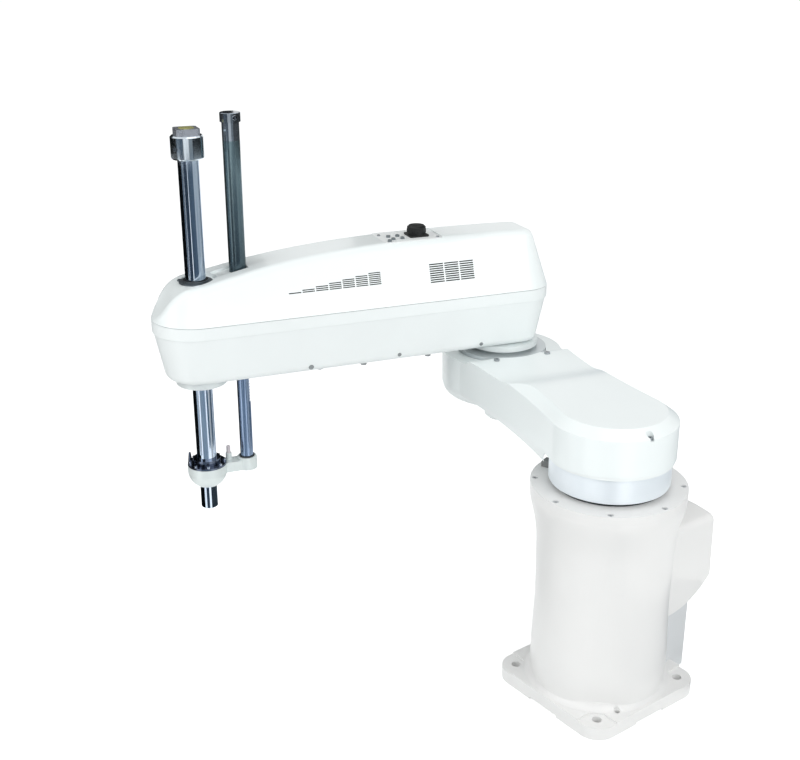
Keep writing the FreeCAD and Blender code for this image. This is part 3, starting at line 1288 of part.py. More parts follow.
def travel_bumper():
    x = ARM2_LENGTH - BUMPER_X
    z0 = BRACKET_TOP_Z + BUMPER_PAD_H
    post = cyl(BUMPER_R, z0, z0 + BUMPER_H, x, BUMPER_Y)
    return post.makeChamfer(0.8, [e for e in post.Edges if e.BoundBox.ZMin > z0 + BUMPER_H - 0.1])


def retainer_lug():
    p = polar(LUG_OUT, LUG_ANGLE)
    z0 = BRACKET_TOP_Z + RETAINER_T
    lug = Part.makeCone(LUG_R, LUG_R * 0.5, LUG_H, V(ARM2_LENGTH + p.x, p.y, z0))
    return lug.makeChamfer(0.6, [e for e in lug.Edges if e.BoundBox.ZMin > z0 + LUG_H - 0.1])


# Shaft, which turns in the bracket and slides in the spline nut

def spline_shaft():
    z_top = SHAFT_TOP_Z
    body = fuse([cyl(SHAFT_R, SHAFT_STEP_Z, z_top, ARM2_LENGTH), cyl(SHAFT_TIP_R, SHAFT_TIP_Z, SHAFT_STEP_Z,
                                                                     ARM2_LENGTH)])
    body = body.makeChamfer(SHAFT_CHAMFER, [e for e in body.Edges if e.BoundBox.ZMax < SHAFT_TIP_Z + 0.1])
    body = body.cut(cyl(SHAFT_BORE_R, SHAFT_TIP_Z, z_top, ARM2_LENGTH))
    for k in range(SPLINE_GROOVES):
        p = polar(SHAFT_R + SPLINE_GROOVE_OUT, 360.0 * k / SPLINE_GROOVES + 45.0)
        body = body.cut(cyl(SPLINE_GROOVE_R, BRACKET_TOP_Z + 20.0, TOP_COLLAR_Z0, ARM2_LENGTH + p.x, p.y))
    return biggest(body)


def top_collar():
    collar = cyl(TOP_COLLAR_R, TOP_COLLAR_Z0, TOP_COLLAR_Z1, ARM2_LENGTH)
    collar = collar.makeChamfer(COLLAR_CHAMFER, [e for e in collar.Edges if e.BoundBox.ZLength < 0.1])
    collar = collar.cut(cyl(SHAFT_R, TOP_COLLAR_Z0, TOP_COLLAR_Z1, ARM2_LENGTH))
    slit = block(ARM2_LENGTH + SHAFT_R - 2.0, ARM2_LENGTH + TOP_COLLAR_R, -COLLAR_SLIT / 2, COLLAR_SLIT / 2,
                 TOP_COLLAR_Z0, TOP_COLLAR_Z1)
    mid_r = (SHAFT_R + TOP_COLLAR_R) / 2
    bolt = across(COLLAR_SCREW_R, -TOP_COLLAR_R, TOP_COLLAR_R, ARM2_LENGTH + mid_r, COLLAR_SCREW_Z)
    return biggest(collar.cut(slit).cut(bolt))


def collar_screw():
    mid_r = (SHAFT_R + TOP_COLLAR_R) / 2
    reach = math.sqrt(TOP_COLLAR_R ** 2 - (mid_r + COLLAR_SCREW_R) ** 2)
    return across(COLLAR_SCREW_R, -reach, reach, ARM2_LENGTH + mid_r, COLLAR_SCREW_Z)


def lock_collar():
    z0 = BRACKET_TOP_Z + RETAINER_T + SEAT_GAP
    collar = ring(LOCK_COLLAR_R, SHAFT_R, z0, z0 + LOCK_COLLAR_H, ARM2_LENGTH)
    return collar


def top_block():
    half = TOP_BLOCK_SIDE / 2
    body = block(ARM2_LENGTH - half, ARM2_LENGTH + half, -half, half, TOP_COLLAR_Z1, TOP_BLOCK_Z1)
    upright = [e for e in body.Edges if abs(e.BoundBox.ZLength - (TOP_BLOCK_Z1 - TOP_COLLAR_Z1)) < 0.01]
    body = body.makeChamfer(TOP_BLOCK_CHAMFER, upright)
    body = body.cut(cyl(SHAFT_R, TOP_COLLAR_Z1, SHAFT_TOP_Z, ARM2_LENGTH))
    body = body.cut(cyl(SHAFT_BORE_R, TOP_COLLAR_Z1, TOP_BLOCK_Z1, ARM2_LENGTH))
    return body.cut(cyl(TOP_PLUG_R, TOP_BLOCK_Z1 - TOP_PLUG_T, TOP_BLOCK_Z1, ARM2_LENGTH))


def shaft_plug():
    return cyl(TOP_PLUG_R, TOP_BLOCK_Z1 - TOP_PLUG_T, TOP_BLOCK_Z1 + 0.6, ARM2_LENGTH)


# Small pieces of the second arm

def underside_plugs(casting):
    plugs = [cyl(r, ARM2_BOTTOM_Z - PLUG_H, ARM2_BOTTOM_Z + CAST_FLOOR, x, y) for x, y, r in PLUG_SITES]
    return group([biggest(plug.cut(casting)) for plug in plugs])


def edge_plugs(casting):
    z_c = ARM2_BOTTOM_Z + CAST_FILLET
    y_c = ARM2_HALF - cast_inset(z_c) - CAST_FILLET / math.cos(math.atan(CAST_DRAFT))
    plugs = []
    for x, angle, r in EDGE_PLUG_SITES:
        a = math.radians(angle)
        out = V(0, math.sin(a), -math.cos(a))
        plug = Part.makeCylinder(r, CAST_WALL * 0.6, V(x, y_c, z_c) + out * (CAST_FILLET + EDGE_PLUG_OUT), out * -1)
        plugs.append(biggest(plug.cut(casting)))
    return group(plugs)


def circuit_board():
    board = block(BOARD_X0, BOARD_X1, -BOARD_HALF, BOARD_HALF, BOARD_Z, BOARD_Z + BOARD_T)
    parts = [board]
    pitch = (BOARD_X1 - BOARD_X0) / BOARD_PARTS
    for k in range(BOARD_PARTS):
        x = BOARD_X0 + pitch * (k + 0.5)
        parts.append(block(x - BOARD_PART_W / 2, x + BOARD_PART_W / 2, -BOARD_PART_W / 2, BOARD_PART_W / 2,
                           BOARD_Z + BOARD_T, BOARD_Z + BOARD_T + BOARD_PART_H))
    return fuse(parts)


def build():
    base = base_casting()
    base_nodes = {
        "base_casting": base,
        "base_flange_screws": flange_screws(),
        "rear_cable_chase": rear_chase(base),
        "rear_connector_plate": connector_plate(),
        "power_connector": plate_connector(base_connector_sites()[0], POWER_CONN_LEN, 0.3),
        "signal_connector": plate_connector(base_connector_sites()[1], SIGNAL_CONN_LEN, 0.3),
        "base_air_ports": base_ports(),
        "rear_plate_screws": plate_screws(),
        "j1_reducer": j1_reducer(),
        "j1_motor": j1_motor(),
        "j1_seal": j1_seal(),
        "calibration_stop": calibration_stop(),
        "j1_output_hub": j1_output_hub(),
        "j1_turntable": j1_turntable(),
    }
    arm1_nodes = {
        "arm1_casting": arm1_casting(),
        "arm1_cover": arm1_cover(),
        "arm1_cover_screws": arm1_screws(),
        "arm1_service_cap": service_cap(),
        "j2_reducer": j2_reducer(),
    }
    casting2 = arm2_casting()
    arm2_nodes = {
        "j2_output_ring": j2_output(),
        "j2_motor": j2_motor(),
        "arm2_casting": casting2,
        "arm2_gasket": arm2_gasket(),
        "arm2_cover": arm2_cover(),
        "top_panel": top_panel(),
        "panel_screws": panel_screws(),
        "round_connector": round_connector(),
        "panel_air_ports": panel_ports(),
        "nose_collar": nose_collar(),
        "nut_bearing": nut_bearing(),
        "timing_belt": timing_belt(),
        "t_motor": t_motor(),
        "shaft_wiper": shaft_wiper(),
        "rack_guide": rack_guide(),
        "z_motor": z_motor(),
        "rod_guard_tube": rod_guard_tube(),
        "guard_tube_cap": guard_tube_cap(),
        "underside_plugs": underside_plugs(casting2),
        "edge_plugs": edge_plugs(casting2),
        "circuit_board": circuit_board(),
        "spline_nut": spline_nut(),
        "nut_pulley": nut_pulley(),
        "t_motor_pulley": t_motor_pulley(),
        "z_pinion": z_pinion(),
        "lift_bracket": bracket(),
        "shaft_bearing": shaft_bearing(),
        "bearing_retainer": bearing_retainer(),
        "retainer_screws": retainer_screws(),
        "retainer_lug": retainer_lug(),
        "travel_bumper": travel_bumper(),
        "rack_rod": rack_rod(),
        "rod_seat_ring": rod_seat_ring(),
        "spline_shaft": spline_shaft(),
        "top_collar": top_collar(),
        "collar_screw": collar_screw(),
        "lock_collar": lock_collar(),
        "top_block": top_block(),
        "shaft_plug": shaft_plug(),
    }
    nodes = dict(base_nodes)
    for name, shape in arm1_nodes.items():
        nodes[name] = place_arm1(shape)
    for name, shape in arm2_nodes.items():
        nodes[name] = place_arm2(shape)
    return nodes


os.makedirs("parts", exist_ok=True)
for name, shape in build().items():
    shape.exportStep(os.path.join("parts", name + ".step"))
    print(name, "valid", shape.isValid(), "solids", len(shape.Solids), "volume", round(shape.Volume / 1000.0, 1))
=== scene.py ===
# %% [markdown]
# # Dressing a SCARA robot
# The shapes of the robot come from its construction model, which is loaded as a fixed frame. Here each piece gets
# the surface that it has on the real machine, two small things are modelled on top, and the whole stands on a pale
# studio floor. Nothing of the frame is moved, so whatever is added sits exactly where the construction says.

import json
import math

import bmesh
import bpy
from mathutils import Matrix, Vector


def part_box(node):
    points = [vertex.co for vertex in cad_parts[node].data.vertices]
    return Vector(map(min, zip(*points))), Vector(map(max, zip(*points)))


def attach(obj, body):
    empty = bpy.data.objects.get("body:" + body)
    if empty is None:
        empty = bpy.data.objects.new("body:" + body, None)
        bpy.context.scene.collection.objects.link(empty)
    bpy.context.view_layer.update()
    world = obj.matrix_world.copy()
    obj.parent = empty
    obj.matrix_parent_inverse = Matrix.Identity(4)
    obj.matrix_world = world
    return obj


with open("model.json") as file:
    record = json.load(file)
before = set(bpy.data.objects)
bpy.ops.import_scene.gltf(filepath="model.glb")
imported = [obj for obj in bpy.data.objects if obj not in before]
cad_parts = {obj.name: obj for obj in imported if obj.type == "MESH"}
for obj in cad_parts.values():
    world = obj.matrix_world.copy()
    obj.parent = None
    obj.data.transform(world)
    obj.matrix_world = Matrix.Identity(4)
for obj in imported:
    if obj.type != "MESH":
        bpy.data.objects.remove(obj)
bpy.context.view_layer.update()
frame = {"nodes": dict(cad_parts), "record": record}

# %% [markdown]
# ## The camera
# The camera stands in front of the robot's left shoulder, a little above it, and looks down on it. A long lens keeps
# the column's sides nearly parallel, as a catalogue picture does. The numbers were found by laying the edges of the
# construction model over the photograph, so they are written here as they came out.

# %% Camera
CAMERA_PLACE = (1.1507, 1.0342, 1.0713)
CAMERA_TILT = 69.1
CAMERA_TURN = 143.0
CAMERA_LENS = 53.226
CAMERA_SENSOR = 36.0

lens = bpy.data.cameras.new("camera")
lens.lens = CAMERA_LENS
lens.sensor_fit = "HORIZONTAL"
lens.sensor_width = CAMERA_SENSOR
lens.clip_end = 200.0
camera = bpy.data.objects.new("camera", lens)
camera.location = CAMERA_PLACE
camera.rotation_euler = (math.radians(CAMERA_TILT), 0.0, math.radians(CAMERA_TURN))
bpy.context.scene.collection.objects.link(camera)
bpy.context.scene.camera = camera
bpy.context.scene.view_settings.view_transform = "Standard"
print("camera at", CAMERA_PLACE)

# %% [markdown]
# ## Shader maths as plain sums
# A finish is a small sum: a grain here, a little less gloss there. Wiring such sums by hand takes many lines, so one
# class wraps an output socket and lets Python's own signs add the Math nodes.

# %% A socket that can be added and multiplied
class Wire:
    def __init__(self, nodes, socket):
        self.nodes = nodes
        self.socket = socket

    def sum_with(self, operation, first, second):
        return self.nodes.node("ShaderNodeMath", {"operation": operation}, {0: first, 1: second})

    def __add__(self, other):
        return self.sum_with("ADD", self, other)

    def __radd__(self, other):
        return self.sum_with("ADD", other, self)

    def __sub__(self, other):
        return self.sum_with("SUBTRACT", self, other)

    def __rsub__(self, other):
        return self.sum_with("SUBTRACT", other, self)

    def __mul__(self, other):
        return self.sum_with("MULTIPLY", self, other)

    def __rmul__(self, other):
        return self.sum_with("MULTIPLY", other, self)

    def __pow__(self, other):
        return self.sum_with("POWER", self, other)

    def __gt__(self, other):
        return self.sum_with("GREATER_THAN", self, other)

    def __lt__(self, other):
        return self.sum_with("LESS_THAN", self, other)


print("wires can be added, multiplied and compared")

# %% [markdown]
# ## A sheet of nodes
# Any other node comes from one method. It takes the node's type, its settings, which are set first, and the values or
# wires of its sockets. A finish is such a sheet with one material's shader on it: what is the same all over the piece
# is set on the shader's own sockets, and what changes over the surface is fed in by a wire.

# %% A sheet of nodes, and one finish of the robot
class Nodes:
    def __init__(self, tree):
        self.tree = tree

    def node(self, kind, settings=None, sockets=None, out=0):
        made = self.tree.nodes.new(kind)
        for name, value in (settings or {}).items():
            setattr(made, name, value)
        for name, value in (sockets or {}).items():
            if isinstance(value, Wire):
                self.tree.links.new(value.socket, made.inputs[name])
            else:
                made.inputs[name].default_value = value
        return Wire(self, made.outputs[out])

    def surface(self, output, wire):
        end = next(node for node in self.tree.nodes if node.bl_idname == output)
        self.tree.links.new(wire.socket, end.inputs["Surface"])


class Finish(Nodes):
    def __init__(self, name, **plain):
        self.material = bpy.data.materials.new(name)
        self.material.use_nodes = True
        super().__init__(self.material.node_tree)
        self.shader = next(node for node in self.tree.nodes if node.type == "BSDF_PRINCIPLED")
        for socket, value in plain.items():
            self.shader.inputs[socket.replace("_", " ")].default_value = value

    def feed(self, socket, wire):
        self.tree.links.new(wire.socket, self.shader.inputs[socket])

    def bump(self, height, distance, strength):
        sockets = {"Strength": strength, "Distance": distance, "Height": height}
        self.feed("Normal", self.node("ShaderNodeBump", None, sockets, out="Normal"))


print("shader helpers ready")

# %% [markdown]
# ## Reading colours
# Colours are easiest to judge as the 0 to 255 numbers of a picture, but shaders work with light, which is not the
# same scale. This helper turns the one into the other with the usual curve of a screen.

# %% Colour by screen numbers
SCREEN_TOE = 0.04045
WHITE = (1.0, 1.0, 1.0, 1.0)


def light(value):
    share = value / 255.0
    if share <= SCREEN_TOE:
        return share / 12.92
    return ((share + 0.055) / 1.055) ** 2.4


def colour(red, green, blue):
    return (light(red), light(green), light(blue), 1.0)


print("paper white as light:", [round(part, 3) for part in colour(238, 240, 240)])

# %% [markdown]
# ## The floor and the room
# The real robot was photographed on white paper, and only a faint shadow shows where the foot stands. The floor is
# white to the eye of the camera and to mirrors, by adding a little of its own light for those rays only, and a plain
# pale floor for everything else, so it never lights the robot more than paper would. The world does the same.

# %% Floor and world
FLOOR_RADIUS = 60.0
FLOOR_SIDES = 64
FLOOR_GLOW = 0.70
FLOOR_TINT = (0.76, 0.775, 0.78, 1.0)
FLOOR_PAPER = (0.80, 0.81, 0.81, 1.0)
ROOM_LEVEL = 0.43
ROOM_TINT = (0.985, 1.0, 1.0, 1.0)


def picture_rays(sheet):
    to_camera = sheet.node("ShaderNodeLightPath", out="Is Camera Ray")
    to_mirror = sheet.node("ShaderNodeLightPath", out="Is Glossy Ray")
    to_glass = sheet.node("ShaderNodeLightPath", out="Is Transmission Ray")
    return sheet.node("ShaderNodeClamp", None, {"Value": to_camera + to_mirror + to_glass})


def placed(name, mesh):
    made = bpy.data.objects.new(name, mesh)
    bpy.context.scene.collection.objects.link(made)
    return made


paper = Finish("paper_floor")
own_light = paper.node("ShaderNodeEmission", None, {"Color": WHITE, "Strength": FLOOR_GLOW})
seen = paper.node("ShaderNodeBsdfDiffuse", None, {"Color": FLOOR_TINT})
unseen = paper.node("ShaderNodeBsdfDiffuse", None, {"Color": FLOOR_PAPER})
bright = paper.node("ShaderNodeAddShader", None, {0: seen, 1: own_light})
both = paper.node("ShaderNodeMixShader", None, {0: picture_rays(paper), 1: unseen, 2: bright})
paper.surface("ShaderNodeOutputMaterial", both)

floor_mesh = bpy.data.meshes.new("floor")
disc = bmesh.new()
bmesh.ops.create_circle(disc, cap_ends=True, segments=FLOOR_SIDES, radius=FLOOR_RADIUS)
disc.to_mesh(floor_mesh)
disc.free()
floor_mesh.materials.append(paper.material)
floor = placed("floor", floor_mesh)

room = bpy.data.worlds.new("room")
bpy.context.scene.world = room
room.use_nodes = True
air = Nodes(room.node_tree)
dim = air.node("ShaderNodeBackground", None, {"Color": ROOM_TINT, "Strength": ROOM_LEVEL})
white = air.node("ShaderNodeBackground", None, {"Color": WHITE, "Strength": 1.0})
sky = air.node("ShaderNodeMixShader", None, {0: picture_rays(air), 1: dim, 2: white})
air.surface("ShaderNodeOutputWorld", sky)
print("floor and room ready, room level", ROOM_LEVEL)

# %% [markdown]
# ## The lamps
# The near sides of the arms are the brightest faces in the picture, their tops a little greyer, and everything that
# looks to the left is darker. So one large soft lamp stands low to the right of the camera, one on the left lifts the
# long side of the first arm, a weak one near the camera fills what both miss, and a weaker one overhead keeps the tops
# clear. Large lamps give the broad soft change of tone that shows the swoop of the cover.

# %% Lamps
LAMP_AIM = Vector((0.0, -0.2, 0.35))
LAMP_DISTANCE = 3.4
LAMP_SIZE = 2.2
LAMPS = {
    "right_lamp": (90.0, 28.0, 46.0),
    "left_lamp": (-18.0, 25.0, 40.0),
    "front_lamp": (50.0, 35.0, 20.0),
    "top_lamp": (140.0, 78.0, 12.0),
}

for name, (azimuth, elevation, watts) in LAMPS.items():
    lamp = bpy.data.lights.new(name, "AREA")
    lamp.shape = "SQUARE"
    lamp.size = LAMP_SIZE
    lamp.energy = watts
    turn, rise = math.radians(azimuth), math.radians(elevation)
    level = math.cos(rise)
    away = Vector((math.cos(turn) * level, math.sin(turn) * level, math.sin(rise)))
    stand = placed(name, lamp)
    stand.location = LAMP_AIM + away * LAMP_DISTANCE
    stand.rotation_euler = away.to_track_quat("Z", "Y").to_euler()
print("lamps:", list(LAMPS))

# %% [markdown]
# ## Cards for the polished shaft
# Chrome has hardly a colour of its own: it shows what stands around it. In a white room it would vanish, so a
# photographer stands black and grey cards beside the set, out of the picture, and they run down the shaft as dark
# bands with bright gaps between them. A ray from the camera meets a mirror higher up at a flatter angle, so the clamp
# collar, the upper shaft, the lower shaft and its tip each have cards of their own. A card's height comes from the
# stretch of shaft that it serves, by the slope of the ray that leaves the eye for it and goes on as steeply. Cards
# that would stand among the arms stand farther out. Only mirrors see the cards, so they take no light away.

# %% Where a card stands
NEAR_RING, MIDDLE_RING, FAR_RING, BACK_RING = 0.30, 0.48, 0.76, 1.15
CARD_STEP = 4.0
CARD_FOOT = 0.002

shaft_low, shaft_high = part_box("spline_shaft")
shaft_axis = (shaft_low + shaft_high) / 2
eye_away = math.hypot(camera.location.x - shaft_axis.x, camera.location.y - shaft_axis.y)


def mirrored_height(height, radius):
    fall = (camera.location.z - height) / eye_away
    return max(height - radius * fall, CARD_FOOT)


def card(name, start, end, low, high, shade, radius):
    strip = bmesh.new()
    last = None
    steps = max(2, round((end - start) / CARD_STEP))
    for step in range(steps + 1):
        turn = math.radians(start + (end - start) * step / steps)
        x = shaft_axis.x + radius * math.cos(turn)
        y = shaft_axis.y + radius * math.sin(turn)
        pair = [strip.verts.new((x, y, low)), strip.verts.new((x, y, high))]
        if last:
            strip.faces.new((last[0], pair[0], pair[1], last[1]))
        last = pair
    mesh = bpy.data.meshes.new(name)
    strip.to_mesh(mesh)
    strip.free()
    mesh.materials.append(Finish(name, Base_Color=shade, Roughness=1.0, Specular_IOR_Level=0.0).material)
    made = placed(name, mesh)
    made.visible_camera = False
    made.visible_diffuse = False
    made.visible_shadow = False
    made.visible_transmission = False


print("the camera is", round(eye_away, 3), "m from the shaft, measured on the floor")

# %% [markdown]
# ## The rings of cards
# Each ring names the stretch of the shaft that shows it, and then its cards: from which direction to which, seen from
# the shaft in degrees, in what shade and how far out. The gaps between them are the bright streaks on the chrome.

# %% Rings of cards
BLACK, NAVY, SLATE = colour(12, 16, 18), colour(74, 88, 104), colour(104, 122, 140)
ASH, PEARL = colour(62, 70, 76), colour(166, 174, 180)
MIST, PALE = colour(184, 202, 220), colour(206, 214, 220)
RINGS = {
    "collar": (0.775, 1.09, [
        (-127, -12, BLACK, MIDDLE_RING),
        (-12, 38, SLATE, MIDDLE_RING),
        (74, 100, PEARL, MIDDLE_RING),
        (100, 208, BLACK, MIDDLE_RING),
    ]),
    "upper": (0.440, 0.772, [
        (-127, -8, BLACK, MIDDLE_RING),
        (10, 44, NAVY, MIDDLE_RING),
        (50, 106, SLATE, FAR_RING),
        (106, 204, PALE, BACK_RING),
    ]),
    "lower": (0.282, 0.436, [
        (-127, -4, BLACK, MIDDLE_RING),
        (24, 84, MIST, MIDDLE_RING),
        (98, 206, SLATE, FAR_RING),
    ]),
    "tip": (0.190, 0.280, [
        (-127, 0, BLACK, NEAR_RING),
        (28, 66, NAVY, NEAR_RING),
        (92, 210, ASH, NEAR_RING),
    ]),
}
for stretch, (low, high, cards) in RINGS.items():
    for number, (start, end, shade, radius) in enumerate(cards):
        foot, head = mirrored_height(low, radius), mirrored_height(high, radius)
        card(f"card_{stretch}_{number}", start, end, foot, head, shade, radius)
print("card rings:", {stretch: len(ring[2]) for stretch, ring in RINGS.items()})

# %% [markdown]
# ## Grain, drift and mixing
# The finishes share a few small helpers. The first reads the place on the piece. A noise gives grain or slow drift,
# depending on its scale. A ramp cuts a noise down to a mask with clear ends. A mix lays one colour over another
# through a mask, and the last helper makes that second colour, a little darker than the first.

# %% Helpers of the finishes
def object_place(finish):
    return finish.node("ShaderNodeTexCoord", out="Object")


def noise(finish, place, scale, detail=2.0, roughness=0.5):
    sockets = {"Vector": place, "Scale": scale, "Detail": detail, "Roughness": roughness}
    return finish.node("ShaderNodeTexNoise", {"noise_dimensions": "3D"}, sockets, out="Fac")


def ramp_mask(finish, wire, low, high):
    sockets = {"Value": wire, "From Min": low, "From Max": high}
    return finish.node("ShaderNodeMapRange", {"clamp": True}, sockets)


def between(finish, mask, first, second):
    return finish.node("ShaderNodeMix", {"data_type": "RGBA"}, {0: mask, 6: first, 7: second}, out=2)


def darker(shade, share):
    return tuple(part * share for part in shade[:3]) + (1.0,)


print("one step darker than white:", darker(WHITE, 0.975)[:3])

# %% [markdown]
# ## Painted castings
# The base and the arms are aluminium castings with a baked two-part paint. Such paint is never glass smooth: it has
# the faint wavy skin called orange peel, about a millimetre across, its tone drifts a little where the coat is thicker,
# and its gloss is uneven where hands and cloths have been. The peel is a low bump, the rest a slow noise. The stop
# block, the motors and the cable chase are painted too, the last two with a higher peel.

# %% Painted casting
PEEL_SCALE = 700.0
DRIFT_SCALE = 7.0
DRIFT_EDGES = (0.35, 0.65)
RUB_SCALE = 38.0
RUB_EDGES = (0.45, 0.75)
PEEL_HEIGHT = 0.00005


def painted(name, shade, gloss, peel_height=PEEL_HEIGHT):
    finish = Finish(name, Roughness=gloss, Specular_IOR_Level=0.4, Coat_Roughness=0.12)
    place = object_place(finish)
    peel = noise(finish, place, PEEL_SCALE)
    drift = ramp_mask(finish, noise(finish, place, DRIFT_SCALE, 3.0), *DRIFT_EDGES)
    rub = ramp_mask(finish, noise(finish, place, RUB_SCALE, 4.0, 0.6), *RUB_EDGES)
    finish.feed("Base Color", between(finish, drift, shade, darker(shade, 0.975)))
    finish.feed("Roughness", rub * 0.10 + gloss)
    finish.bump(peel, peel_height, 0.5)
    return finish.material


finishes = {
    "base_paint": painted("base_paint", colour(234, 234, 233), 0.34),
    "arm_paint": painted("arm_paint", colour(240, 245, 245), 0.36),
    "stop_dark": painted("stop_paint", colour(126, 128, 128), 0.45),
    "motor_black": painted("motor_paint", colour(30, 31, 33), 0.48, 0.00012),
    "sheet_metal": painted("chase_powder", colour(214, 217, 219), 0.46, 0.00009),
}
print("painted finishes:", sorted(finishes))

# %% [markdown]
# ## Painted shade inside the vents
# The slots of the second arm's cover read as dark lines, because their walls lie in shade. Nothing is modelled behind
# them, and dark filter foam there is a guess. So the shade is painted: the cover keeps its finish, and where a point
# lies deeper than a skin under the leaning side wall, between the first slot and the last, its colour goes to a
# painted shade. The wall is a plane in the arm's own directions, so depth is plain arithmetic: half width, less the
# lean, less how far out the point is.

# %% Where the vents are dark
COVER_HALF = 0.066
COVER_LEAN = 0.329
COVER_SKIN = 0.0004
VENT_START, VENT_END = 0.070, 0.382
VENT_INSIDE, VENT_TOP = 0.028, 0.062
# Painted shade on the vents' slot walls, and how much duller they get there.
VENT_PAINTED_SHADE = colour(58, 62, 64)
VENT_SHADE_DULLER = 0.5

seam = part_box("arm2_cover")[0].z
elbow = sum(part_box("j2_output_ring"), Vector()) / 2
arm_way = Vector((shaft_axis.x - elbow.x, shaft_axis.y - elbow.y, 0.0)).normalized()
side_way = Vector((-arm_way.y, arm_way.x, 0.0))
UPWARD = (0.0, 0.0, 1.0)


def measured(finish, place, origin, way):
    offset = finish.node(
        "ShaderNodeVectorMath", {"operation": "SUBTRACT"}, {0: place, 1: tuple(origin)}
    )
    return finish.node(
        "ShaderNodeVectorMath", {"operation": "DOT_PRODUCT"}, {0: offset, 1: tuple(way)}, out="Value"
    )


def vent_shade_mask(finish, place):
    along = measured(finish, place, elbow, arm_way)
    out = measured(finish, place, elbow, side_way)
    up = measured(finish, place, (0.0, 0.0, seam), UPWARD)
    depth = COVER_HALF - up * COVER_LEAN - out
    inside = (depth > COVER_SKIN) * (out > VENT_INSIDE)
    return inside * (along > VENT_START) * (along < VENT_END) * (up < VENT_TOP)


print("arm direction", [round(part, 4) for part in arm_way], "seam at", round(seam, 4))

# %% [markdown]
# ## Moulded covers
# The white covers over both arms are moulded. Their tool was spark eroded, which leaves an even, very fine grain, and
# the surface is a little glossier than the castings. A clear coat layer gives that gloss without making the white
# itself shine. The second arm's cover is the same, with painted shade laid over the walls of its vents. The panel, the
# connectors and other small mouldings have a coarser grain and no clear coat.

# %% Moulded cover
GRAIN_SCALE = 2600.0
GRAIN_HEIGHT = 0.000012
COVER_SHADE = colour(241, 247, 247)
COVER_GLOSS = 0.33
COVER_COAT = 0.25


def moulded(name, shade, gloss, coat=0.0, height=GRAIN_HEIGHT, scale=GRAIN_SCALE, hollow=None):
    finish = Finish(
        name, Roughness=gloss, Specular_IOR_Level=0.45, Coat_Weight=coat, Coat_Roughness=0.10
    )
    place = object_place(finish)
    grain = noise(finish, place, scale, 1.0)
    drift = ramp_mask(finish, noise(finish, place, DRIFT_SCALE), *DRIFT_EDGES)
    tone = between(finish, drift, shade, darker(shade, 0.98))
    dullness = grain * 0.10 + (gloss - 0.05)
    if hollow:
        dark = hollow(finish, place)
        # Painted shade on the walls of the vents.
        tone = between(finish, dark, tone, VENT_PAINTED_SHADE)
        dullness = dullness + dark * VENT_SHADE_DULLER
    finish.feed("Base Color", tone)
    finish.feed("Roughness", dullness)
    finish.bump(grain, height, 0.5)
    return finish.material


finishes["cover_white"] = moulded("cover_white", COVER_SHADE, COVER_GLOSS, COVER_COAT)
finishes["panel_white"] = moulded("panel_white", colour(246, 249, 249), 0.45, 0.0, 0.00003, 1500.0)
finishes["connector_black"] = moulded("connector_black", colour(11, 14, 15), 0.5, 0.0, 0.00004, 1800.0)
finishes["fitting_grey"] = moulded("fitting_grey", colour(112, 120, 124), 0.42, 0.0, 0.00003, 1800.0)
own_finish = {
    "arm2_cover": moulded(
        "arm2_cover_white", COVER_SHADE, COVER_GLOSS, COVER_COAT, hollow=vent_shade_mask
    )
}
print("moulded finishes added, now", len(finishes))

# %% [markdown]
# ## Turned metal
# Rings, collars and bearings come from a lathe. The tool leaves fine rings round the axis, seen as a silky sheen
# that runs round the part. The finish measures how far a point is from the axis and how high it is, and feeds that to
# a noise: on a flat face this draws circles, on a round wall it draws bands.

# %% Turned metal
TURN_SCALE = 1500.0
TURN_HEIGHT = 0.000010


def axis_of(node):
    low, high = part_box(node)
    return (low + high) / 2


def lathe_place(finish, axis, ring_scale, height_scale, angle_scale=0.0):
    offset = finish.node(
        "ShaderNodeVectorMath",
        {"operation": "SUBTRACT"},
        {0: object_place(finish), 1: (axis[0], axis[1], 0.0)},
    )
    x, y, z = (finish.node("ShaderNodeSeparateXYZ", None, {0: offset}, out=part) for part in "XYZ")
    away = (x * x + y * y) ** 0.5
    angle = finish.node("ShaderNodeMath", {"operation": "ARCTAN2"}, {0: y, 1: x})
    return finish.node(
        "ShaderNodeCombineXYZ",
        None,
        {0: away * ring_scale, 1: z * height_scale, 2: angle * angle_scale},
    )


def turned(name, axis, shade, gloss, spread=0.10, metal=1.0):
    finish = Finish(name, Metallic=metal, Roughness=gloss)
    lines = noise(finish, lathe_place(finish, axis, TURN_SCALE, TURN_SCALE), 1.0, 2.0, 0.6)
    finish.feed("Base Color", between(finish, lines, shade, darker(shade, 0.90)))
    finish.feed("Roughness", lines * spread + (gloss - spread / 2))
    finish.bump(lines, TURN_HEIGHT, 0.4)
    return finish.material


print("the first axis is at", [round(part, 4) for part in axis_of("j1_turntable")])

# %% [markdown]
# ## Which turned part has which axis
# Each lathe part has its own centre, so each gets its own copy of the finish, named after the piece. The first
# turntable, the ring of the second axis and the nose collar are clear anodised, which makes them pale and less like
# bare metal. The bearing's retainer and the rings beside it are polished dark steel, and the clamp collar at the
# shaft's top is the brightest of all. The plug on top of the block is yellowish. Reducers, the nut and the wheels of
# the drives are plain ground steel.

